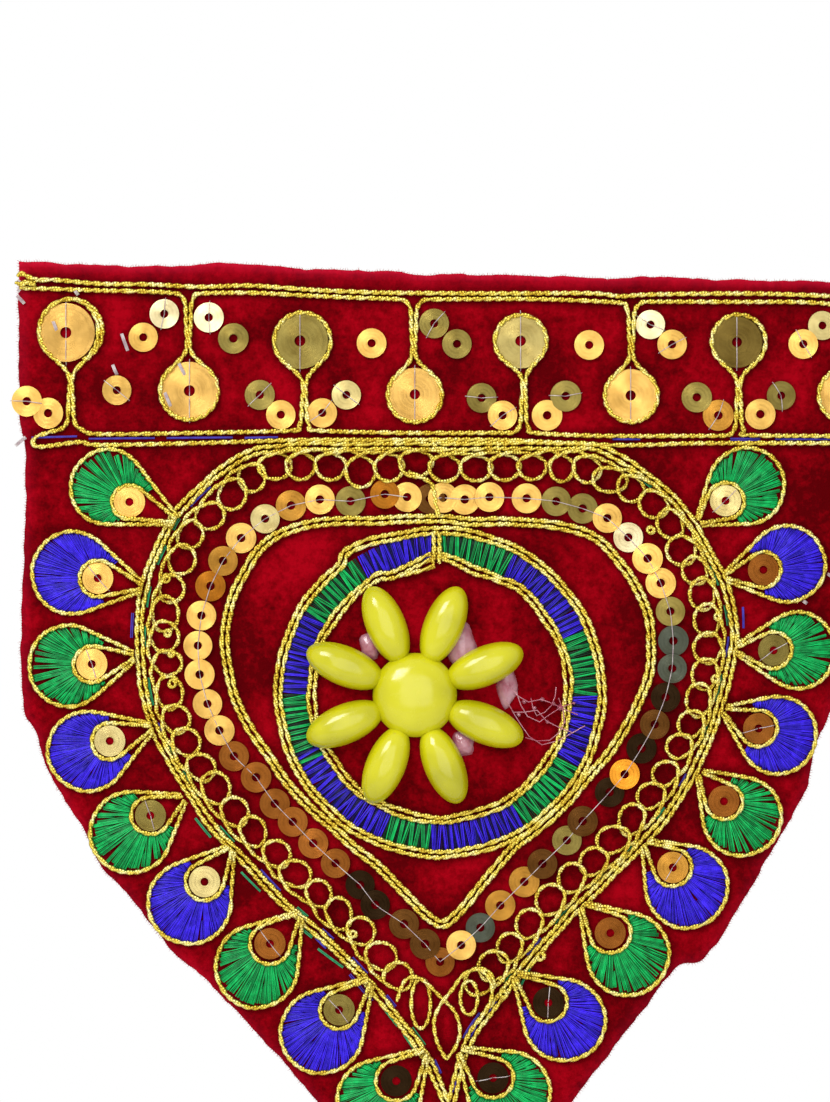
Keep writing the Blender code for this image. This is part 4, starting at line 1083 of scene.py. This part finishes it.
def velvet_sheet(edge, trims):
    """The panel as one closed sheet: its pile puffs up between the trims and rounds off at the cut edge."""
    body = bmesh.new()
    body.faces.new([body.verts.new((x, z, 0.0)) for x, z in edge])
    low, high = edge.min(axis=0), edge.max(axis=0)
    for axis in (0, 1):
        cells = round((high[axis] - low[axis]) / VELVET_CELL)
        normal = Vector((1, 0, 0)) if axis == 0 else Vector((0, 1, 0))
        for cell in range(1, cells):
            place = normal * (low[axis] + (high[axis] - low[axis]) * cell / cells)
            geometry = body.verts[:] + body.edges[:] + body.faces[:]
            bmesh.ops.bisect_plane(body, geom=geometry, plane_co=place, plane_no=normal)
    bmesh.ops.triangulate(body, faces=body.faces)
    body.verts.index_update()
    flat = np.array([vertex.co[:2] for vertex in body.verts])
    faces = [[vertex.index for vertex in face.verts] for face in body.faces]
    rim = [[vertex.index for vertex in edge.verts] for edge in body.edges if edge.is_boundary]
    if next(iter(body.faces)).normal.z < 0:
        faces = [face[::-1] for face in faces]
    body.free()
    tree = KDTree(len(trims))
    for index, (x, z) in enumerate(trims):
        tree.insert((x, z, 0), index)
    tree.balance()
    border = KDTree(len(edge))
    for index, (x, z) in enumerate(edge):
        border.insert((x, z, 0), index)
    border.balance()
    to_trim = np.array([tree.find((x, z, 0))[2] for x, z in flat])
    to_edge = np.array([border.find((x, z, 0))[2] for x, z in flat])
    puff = PUFF_HIGH * (1 - np.exp(-np.maximum(to_trim - PUFF_STARTS, 0) / PUFF_SOFT))
    puff = puff + rng.normal(0, PUFF_UNEVEN, len(flat))
    puff = puff * fade(to_edge, 0.3, 2.2) - EDGE_DROP * (1 - fade(to_edge, 0.0, 1.0))
    front = laid(np.column_stack([flat, puff]))
    back = laid(np.column_stack([flat, np.full(len(flat), -CLOTH_THICK)]))
    total = len(flat)
    skins = [tuple(face) for face in faces]
    behind = [tuple(index + total for index in face[::-1]) for face in faces]
    directed = {pair for face in faces for pair in zip(face, face[1:] + face[:1])}
    walls = []
    for first, second in rim:
        if (first, second) not in directed:
            first, second = second, first
        walls.append((second, first, first + total, second + total))
    mesh = bpy.data.meshes.new("velvet")
    mesh.from_pydata([tuple(place) for place in np.vstack([front, back])], [], skins + behind + walls)
    # Painted sheen near the cut edge, strongest along the top, and painted shade with pressed pile beside
    # each trim.
    near = np.exp(-to_edge / EDGE_SHEEN_REACH)
    top = fade(flat[:, 1], -6.0, 0.0)
    for label, numbers in (
        ("edge_near", np.concatenate([near * (0.35 + 0.65 * top), near * 0])),
        ("pressed", np.concatenate([PRESSED_AND_SHADE * np.exp(-(to_trim / PRESSED_AND_SHADE_REACH) ** 2), near * 0])),
    ):
        mesh.attributes.new(label, "FLOAT", "POINT").data.foreach_set("value", numbers)
    mesh.materials.append(velvet_pile())
    mesh.materials.append(woven_back())
    mesh.polygons.foreach_set(
        "material_index", [0] * len(skins) + [1] * len(behind) + [0] * len(walls)
    )
    mesh.shade_smooth()
    mesh.update()
    return placed("velvet_sheet", mesh)


edge = cut_edge()
# The trims' places, sequins too, raise the pile's puff and set the painted shade beside them.
trim_places = np.vstack(
    [line[:, :2] for group in cords.values() for line in group]
    + [line[:, :2] for group in feather_lines.values() for line in group]
    + [np.linspace(start, end, 7)[:, :2] for group in stitches.values() for start, end in group]
    + [circle(x, z, SMALL_SEQUIN * 0.6, pitch=1.2) for x, z, _ in BAND_SEQUINS + ROW_SEQUINS]
    + [circle(row[1], row[2], row[3] * 0.5, pitch=1.5) for row in LOLLIPOPS]
)
velvet = velvet_sheet(edge, trim_places)
sewn(velvet, "velvet", "velvet_panel")

following = np.roll(edge, -1, axis=0) - np.roll(edge, 1, axis=0)
outward = np.column_stack([-following[:, 1], np.zeros(len(edge)), following[:, 0]])
outward /= np.linalg.norm(outward, axis=1)[:, None]
rows = [(laid(np.column_stack([edge, np.full(len(edge), -depth)])), True) for depth in FRINGE_DEPTHS]
fringe_tree = pile_fringe_tree()
pile = bpy.data.materials["cut_pile_red_cotton_velvet"]
# The loose hairs at the edge carry the painted sheen too.
fringe = grown(
    "pile_fringe", rows, fringe_tree,
    {"Pitch": 0.45 * MM, "Length": 0.5 * MM, "Hair radius": 0.035 * MM, "Material": pile, "Seed": 3},
    [("outward", "FLOAT_VECTOR", np.vstack([outward] * len(rows))),
     ("edge_near", "FLOAT", np.full(len(rows) * len(edge), 0.8))],
)
sewn(fringe, "velvet")

# The cords
cord_tree = twisted_cord_tree()
gold = zari()
THICK_PLY, FEATHER_PLY, CURL_PLY = (0.28, 0.19), (0.265, 0.175), (0.24, 0.155)


def cord_piece(name, lines, ply, *nodes):
    sizes = {
        "Step": 0.3 * MM, "Ply radius": ply[0] * MM, "Ply offset": ply[1] * MM, "Lay": 3.4 * MM,
        "Material": gold,
    }
    piece = grown(f"zari_{name}", [(laid(line), False) for line in lines], cord_tree, sizes)
    return sewn(piece, "gold_cord", *nodes)


cord_piece("band_head", cords["band_head"], THICK_PLY, "band_cord_top")
cord_piece("band_foot", cords["band_foot"], THICK_PLY, "band_cord_bottom")
cord_piece("heart_outer", cords["heart_outer"], THICK_PLY, "heart_cord_outer")
cord_piece("heart_inner", cords["heart_inner"], THICK_PLY, "heart_cord_inner")
cord_piece("ring_outer", cords["ring_outer"], THICK_PLY, "ring_cord_outer")
cord_piece("ring_inner", cords["ring_inner"], THICK_PLY, "ring_cord_inner")
cord_piece("curls_left", cords["curls_left"], CURL_PLY, "loop_chain_left")
cord_piece("curls_right", cords["curls_right"], CURL_PLY, "loop_chain_right")
for side, initial in (("left", "L"), ("right", "R")):
    cord_piece(
        f"feathers_{side}", feather_lines[side], FEATHER_PLY,
        *(f"feather_cord_{initial}{number}" for number in range(1, 10)),
    )

# The satin stitch
thread_tree = laid_thread_tree()
# The first colour of each floss is its painted shade.
green_silk = silk("green_rayon_floss", "#00200c", "#004e20", "#04cc66")
blue_silk = silk("blue_violet_rayon_floss", "#08013c", "#100280", "#4426ff")
ring_silk = silk("blue_and_green_rayon_floss", "#030a20", "#100280", "#4426ff", "#004e20", "#04cc66")


def satin(name, lines, finish, slot, nodes, threads, seed, tones=None):
    values = {
        "Points": 6, "Threads": threads, "Spacing": 0.2 * MM, "Thread radius": 0.11 * MM, "Bow": 0.36 * MM,
        "Unevenness": 0.18 * MM, "Material": finish, "Seed": seed,
    }
    attributes = [("tone", "FLOAT", tones)] if tones else None
    piece = grown(name, [(laid(line), False) for line in lines], thread_tree, values, attributes)
    return sewn(piece, slot, *nodes)


fans = {
    colour: [f"feather_fan_{row[0]}" for row in FEATHERS if row[1] == colour] for colour in ("green", "blue")
}
satin("satin_fans_green", stitches["green"], green_silk, "green_silk", fans["green"], 3, 11)
satin("satin_fans_blue", stitches["blue"], blue_silk, "blue_silk", fans["blue"], 3, 12)
satin("satin_ring", stitches["ring"], ring_silk, "ring_silk", ["ring_satin"], 3, 13, ring_tones)
# The lower layer: thread coloured near black as painted shade between the bundles.
painted_shade_silk = silk("near_black_floss_as_painted_shade", "#02040e", "#06023a", "#0c0660", "#001c0e", "#00341c")
satin("satin_ring_painted_shade_underlay", stitches["underlay"], painted_shade_silk, "ring_silk", [], 3, 14, ring_tones)

# The sequins
LARGE_HOLE, SMALL_HOLE, EYE_HOLE = 0.95, 0.72, 0.68
FOIL, DISH = 0.12, 0.02
washers = sequin_tree()
foil = sequin_foil()


def slopes(x, z):
    """How the cloth leans there, as turns about X and Z."""
    step = 0.5
    lean_z = (cloth_bend(x, z + step) - cloth_bend(x, z - step)) / (2 * step)
    lean_x = (cloth_bend(x + step, z) - cloth_bend(x - step, z)) / (2 * step)
    return -np.arctan(lean_z), np.arctan(lean_x)


def sequin_piece(name, rows, hole, nodes, lean):
    """rows are x, z, height, size and tone."""
    radius = max(row[3] for row in rows)
    tilts, colours = [], []
    for x, z, _, _, tone in rows:
        lean_x, lean_z = slopes(x, z)
        tilts.append((
            math.pi / 2 + lean_x + rng.normal(0, lean), rng.uniform(-0.3, 0.3), lean_z + rng.normal(0, lean),
        ))
        shade = np.array(linear(TONES_AND_REFLECTIONS[tone])) * rng.uniform(0.85, 1.1)
        colours.append((*shade[:3], 1.0))
    places = laid([row[:3] for row in rows])
    piece = grown(
        name, [([place], False) for place in places], washers,
        {"Radius": radius * MM, "Hole": hole * MM, "Thickness": FOIL * MM, "Dish": DISH, "Material": foil},
        [("tilt", "FLOAT_VECTOR", tilts), ("size", "FLOAT", [row[3] / radius for row in rows]),
         ("colour", "FLOAT_COLOR", colours)],
    )
    return sewn(piece, "sequin", *nodes)


large = [(x, z, SEQUIN_LIES, radius, tone) for _, x, z, radius, _, _, _, _, tone in LOLLIPOPS]
large_nodes = [f"large_sequin_{number}" for number in range(1, 9)]
sequin_piece("sequins_large", large, LARGE_HOLE, large_nodes, lean=0.03)
band_small = [
    (x, z, SEQUIN_LIES, SMALL_SEQUIN * rng.uniform(0.96, 1.03), tone) for x, z, tone in BAND_SEQUINS
]
sequin_piece("sequins_band", band_small, SMALL_HOLE, [], lean=0.05)
row_small = [
    (x, z, SEQUIN_LIES + 0.25 * (index % 2), SMALL_SEQUIN * rng.uniform(0.97, 1.02), tone)
    for index, (x, z, tone) in enumerate(ROW_SEQUINS)
]
row_nodes = ["heart_sequins_left", "heart_sequins_right"]
sequin_piece("sequins_heart_row", row_small, SMALL_HOLE, row_nodes, lean=0.05)
eyes = [(row[7], row[8], SEQUIN_LIES, EYE_SEQUIN, row[10]) for row in FEATHERS]
sequin_piece("sequins_eyes", eyes, EYE_HOLE, [], lean=0.05)

# The sewing threads
def stitch_over(x, z, angle, radius, high):
    """A stitch that comes up through the hole, crosses the rim and goes down beside it."""
    way = np.array([math.cos(angle), math.sin(angle)])
    steps = ((0.0, 0.1), (0.35, high + 0.32), (0.9, high + 0.3), (1.1, 0.05))
    return [(x + way[0] * share * radius, z + way[1] * share * radius, height) for share, height in steps]


sewing = []
for x, z, high, radius, _ in large:
    sewing += [stitch_over(x, z, angle, radius, high) for angle in (math.pi / 2, -math.pi / 2)]
for index, (x, z, high, radius, _) in enumerate(band_small + eyes):
    angle = rng.uniform(0, math.pi)
    if index % 5 in (1, 3):
        continue
    sewing += [stitch_over(x, z, angle + turn, radius, high) for turn in (0, math.pi + rng.normal(0, 0.2))]
for first, second in zip(row_small, row_small[1:]):
    start, end = np.array(first[:2]), np.array(second[:2])
    steps = ((0.0, 0.15), (0.2, first[2] + 0.3), (0.5, 0.85), (0.8, second[2] + 0.3), (1.0, 0.15))
    sewing.append([(*(start + (end - start) * share), height) for share, height in steps])
# Loose ends of thread: x and z of both ends.
LOOSE_ENDS = (
    (-60.5, -2.5, -59.8, -3.5), (-64, -7.8, -63.2, -9.8), (-52.5, -10, -51.5, -12.8),
    (-54, -15.2, -53.3, -16.8), (-43.2, -14.5, -41.8, -17.2), (-45.3, -19.8, -44.3, -22.2),
    (-69.9, -1.0, -68.4, -2.6), (-69.9, -2.9, -68.6, -1.4), (-70.0, -3.6, -68.8, -4.9),
    (-70.3, -28.6, -68.6, -27.2), (65.1, -50.0, 65.8, -50.4), (61.0, -54.5, 61.6, -54.9),
)
loose = [
    [(x0, z0, 0.35), ((x0 + x1) / 2, (z0 + z1) / 2, 0.8), (x1, z1, 0.3)] for x0, z0, x1, z1 in LOOSE_ENDS
]
thin = {
    "Points": 7, "Threads": 1, "Spacing": 0.0, "Thread radius": 0.075 * MM, "Bow": 0.0, "Unevenness": 0.0,
    "Material": clear_thread(), "Seed": 5,
}
sewn(grown("sewing_threads", [(laid(line), False) for line in sewing], thread_tree, thin), "sequin")
pale = dict(thin, Threads=3, Spacing=0.18 * MM)
pale["Thread radius"] = 0.11 * MM
sewn(grown("loose_thread_ends", [(laid(line), False) for line in loose], thread_tree, pale), "sequin")

# Violet and green ends beside the cords: x and z of both ends, and 0 for violet or 1 for green.
FLOSS_ENDS = (
    (-67.6, -27.3, -60, -27.1, 0), (-58, -27.5, -47, -27.4, 0), (-45, -27.4, -34, -27.3, 0),
    (-32, -27.3, -26.5, -27.2, 0), (29.2, -27.6, 33.8, -27.6, 0), (48.8, -27.6, 53.8, -27.6, 0),
    (56.3, -27.6, 65.5, -27.6, 0), (-22.9, -108.7, -20.8, -110.5, 1), (-20.2, -110.6, -18.5, -112.3, 0),
    (-19.8, -112.3, -15.6, -115.4, 1), (-14.5, -116.6, -10.8, -121, 0), (-8.9, -122.2, -6.6, -125.2, 1),
    (-5.6, -126.6, -3.2, -130, 1), (6.9, -124.3, 5.6, -127, 0), (9.8, -121, 8.4, -123.3, 0),
    (3.3, -134, 2.3, -136.6, 0), (15.6, -115.2, 13.9, -118.5, 1), (-32.6, -99.6, -29.4, -102.8, 1),
    (-40.2, -90.6, -37.6, -93.8, 1), (-50.7, -56.5, -50.9, -60.6, 0), (50.9, -55.5, 51.0, -59.0, 0),
)
ends, tones = [], []
for side, line in ((-1, heart_left), (1, heart_right)):
    outside = beside(line, -side * 0.98)
    start = int(rng.integers(20, 40))
    while start < len(outside) - 16:
        reach = int(rng.integers(7, 15))
        if abs(outside[start, 1]) > 31:
            bit = lifted(outside[start:start + reach:3], 0.22)
            ends.append(bit)
            tones += [float(rng.random() < 0.45)] * len(bit)
        start += reach + int(rng.integers(4, 16))
for x0, z0, x1, z1, tone in FLOSS_ENDS:
    ends.append([(x0, z0, 0.3), ((x0 + x1) / 2, (z0 + z1) / 2, 0.5), (x1, z1, 0.25)])
    tones += [tone] * 3
floss = {
    "Points": 8, "Threads": 2, "Spacing": 0.2 * MM, "Thread radius": 0.11 * MM, "Bow": 0.1 * MM,
    "Unevenness": 0.2 * MM, "Material": under_thread(), "Seed": 6,
}
sewn(
    grown(
        "floss_ends", [(laid(line), False) for line in ends], thread_tree, floss, [("tone", "FLOAT", tones)],
    ),
    "blue_silk",
)


# The flower and its glue
def moulded_dome(body, place, turn, long, wide, high, rings=9, around=40):
    """An oval dome with a soft shoulder and a flat back; its rings crowd towards the shoulder."""
    cosine, sine = math.cos(turn), math.sin(turn)
    top = body.verts.new((place[0], place[1], high))
    loops = []
    for ring in range(1, rings + 1):
        share = (ring / rings) ** 0.75
        rise = high * (1 - share**2.6) ** 0.55
        loop = []
        for step in range(around):
            angle = 2 * math.pi * step / around
            along, across = share * math.cos(angle) * long / 2, share * math.sin(angle) * wide / 2
            place_x = place[0] + along * cosine - across * sine
            place_z = place[1] + along * sine + across * cosine
            loop.append(body.verts.new((place_x, place_z, rise)))
        loops.append(loop)
    for index in range(around):
        after = (index + 1) % around
        body.faces.new((top, loops[0][index], loops[0][after]))
        for near, far in zip(loops, loops[1:]):
            body.faces.new((near[index], far[index], far[after], near[after]))
    body.faces.new(loops[-1][::-1])


def flower():
    body = bmesh.new()
    moulded_dome(body, (EMBLEM_X, EMBLEM_Z), 0.0, BOSS_WIDE, BOSS_WIDE, BOSS_HIGH, around=56)
    for index in range(PETALS):
        angle = 2 * math.pi * (index + 0.5) / PETALS
        place = (EMBLEM_X + PETAL_CENTRE * math.cos(angle), EMBLEM_Z + PETAL_CENTRE * math.sin(angle))
        moulded_dome(body, place, angle, PETAL_LONG, PETAL_WIDE, PETAL_HIGH)
    for vertex in body.verts:
        x, z, high = vertex.co
        spot = laid([(x, z, high + EMBLEM_LIFT)])[0]
        vertex.co = Vector(spot)
    bmesh.ops.recalc_face_normals(body, faces=body.faces)
    mesh = bpy.data.meshes.new("flower")
    body.to_mesh(mesh)
    body.free()
    mesh.materials.append(moulded_plastic())
    mesh.shade_smooth()
    mesh.set_sharp_from_angle(angle=math.radians(50))
    return placed("moulded_flower", mesh)


sewn(flower(), "plastic", "emblem")

# Blobs of glue: x, z, half width, half length and height.
GLUE = (
    (4.2, -62.6, 2.3, 4.4, 1.9), (2.4, -60.4, 1.2, 2.2, 1.3), (11.6, -67.9, 1.7, 4.2, 1.6),
    (-11.2, -62.2, 1.8, 2.6, 1.4), (-13.5, -73.5, 2.0, 1.7, 1.3), (4.4, -78.3, 2.0, 2.4, 1.4),
)
# Drops of glue: x, z and half width.
DROP_HIGH = 1.2
DROPS = (
    (14.5, -71.2, 0.45), (17.5, -70.9, 0.4), (20.5, -72.2, 0.55), (18.4, -74.6, 0.35), (16.2, -72.3, 0.4),
    (19.4, -71.6, 0.35), (13.6, -73.4, 0.4), (21.2, -74.6, 0.3), (12.9, -69.7, 0.5), (22.8, -71.5, 0.3),
)
body = bmesh.new()
for x, z, wide, long, high in GLUE + tuple((x, z, size, size, DROP_HIGH) for x, z, size in DROPS):
    made = bmesh.ops.create_icosphere(body, subdivisions=3 if wide > 1 else 2, radius=1.0)["verts"]
    for vertex in made:
        way = vertex.co.copy()
        lump = 1 + 0.18 * math.sin(3 * way.x + x) * math.cos(4 * way.y + z)
        spot = (x + way.x * wide * lump, z + way.y * long * lump, max(way.z, -0.15) * high)
        vertex.co = Vector(laid([spot])[0])
bmesh.ops.recalc_face_normals(body, faces=body.faces)
mesh = bpy.data.meshes.new("glue")
body.to_mesh(mesh)
body.free()
mesh.materials.append(hot_glue())
mesh.shade_smooth()
sewn(placed("glue_blobs", mesh), "plastic")
# Strings of glue: points of x, z and height.
STRINGS = (
    ((12, -68.5, 1.6), (14.5, -71.2, 1.2), (17.5, -70.8, 1.4), (20.5, -72.2, 1.0), (23.4, -73.4, 0.9)),
    ((11.5, -71, 1.6), (13.4, -73.6, 0.7), (16, -72.2, 1.3), (18.4, -74.6, 1.1), (22.6, -76.4, 1.2)),
    ((13.2, -69.6, 1.2), (14.6, -73.2, 1.0), (17.2, -74.6, 0.8), (19.6, -72.6, 1.2), (22.8, -71.4, 0.8)),
    ((15.6, -70.6, 1.2), (16.6, -73.6, 0.9), (19.2, -71.6, 1.3), (19.8, -68.8, 0.9)),
    ((20.2, -70.6, 1.2), (21.2, -74.8, 1.0), (18.4, -77.8, 0.8), (14.7, -77.2, 0.7)),
    ((12.4, -72.6, 0.9), (17.2, -78.4, 0.7), (24.6, -75.2, 1.0)),
)
string = dict(thin, Material=mesh.materials[0])
string["Thread radius"] = 0.09 * MM
sewn(
    grown("glue_strings", [(laid(smooth(line)), False) for line in STRINGS], thread_tree, string), "plastic"
)


# Floor, light and camera
FLOOR_HALF, FLOOR_LOW = 0.24, -0.172
ROOM_LIGHT = 0.62
LENS, SENSOR = 150.0, 36.0
# The picture is 830 by 1102 pixels at 6 to a millimetre, and this is its middle.
PIXELS_HIGH, PIXELS_PER_MM = 1102, 6
VIEW_X, VIEW_Z = -3.67, -46.17


def floor():
    made, tree, surface = material("matt_white_paper", Roughness=0.7)
    place = node(tree, "ShaderNodeTexCoord")["Object"]
    cloud = node(tree, "ShaderNodeTexNoise", {"Vector": place, "Scale": per(60)})[0]
    tint = node(tree, "ShaderNodeValToRGB", {"Fac": cloud}, ((0.3, "#f1f0ee"), (0.7, "#f7f6f4")))[0]
    tree.links.new(tint, surface["Base Color"])
    mesh = bpy.data.meshes.new("floor")
    half, low = FLOOR_HALF, FLOOR_LOW
    mesh.from_pydata(
        [(-half, -half, low), (half, -half, low), (half, half, low), (-half, half, low)], [], [(0, 1, 2, 3)],
    )
    mesh.materials.append(made)
    placed("floor", mesh)


def lamp(name, place, target, size, watts, colour="#ffffff"):
    data = bpy.data.lights.new(name, "AREA")
    data.shape = "RECTANGLE"
    data.size, data.size_y = size
    data.energy = watts
    data.color = linear(colour)[:3]
    made = bpy.data.objects.new(name, data)
    made.location = place
    made.rotation_euler = (Vector(target) - Vector(place)).to_track_quat("-Z", "Y").to_euler()
    bpy.context.scene.collection.objects.link(made)


def room():
    """A white room: it is seen at full strength and lights the cloth at less."""
    world = bpy.data.worlds.new("white_room")
    world.use_nodes = True
    tree = world.node_tree
    tree.nodes.clear()
    seen = node(tree, "ShaderNodeLightPath")["Is Camera Ray"]
    strength = node(tree, "ShaderNodeMapRange", {"Value": seen, "To Min": ROOM_LIGHT, "To Max": 1.0})[0]
    light = node(tree, "ShaderNodeBackground", {"Color": (1, 1, 1, 1), "Strength": strength})[0]
    node(tree, "ShaderNodeOutputWorld", {"Surface": light})
    bpy.context.scene.world = world


def camera():
    data = bpy.data.cameras.new("camera")
    data.lens = LENS
    data.sensor_width = SENSOR
    made = bpy.data.objects.new("camera", data)
    frame_high = PIXELS_HIGH / PIXELS_PER_MM * MM
    made.location = (VIEW_X * MM, -frame_high * LENS / SENSOR, VIEW_Z * MM)
    made.rotation_euler = (math.pi / 2, 0, 0)
    bpy.context.scene.collection.objects.link(made)
    bpy.context.scene.camera = made


floor()
room()
camera()
middle = (0, 0, -0.075)
lamp("key", (-0.3, -0.5, 0.35), middle, (0.3, 0.3), 2.6)
lamp("front_panel", (0.05, -0.95, 0.05), middle, (0.7, 0.7), 2.2)
bpy.context.scene.view_settings.view_transform = "Standard"
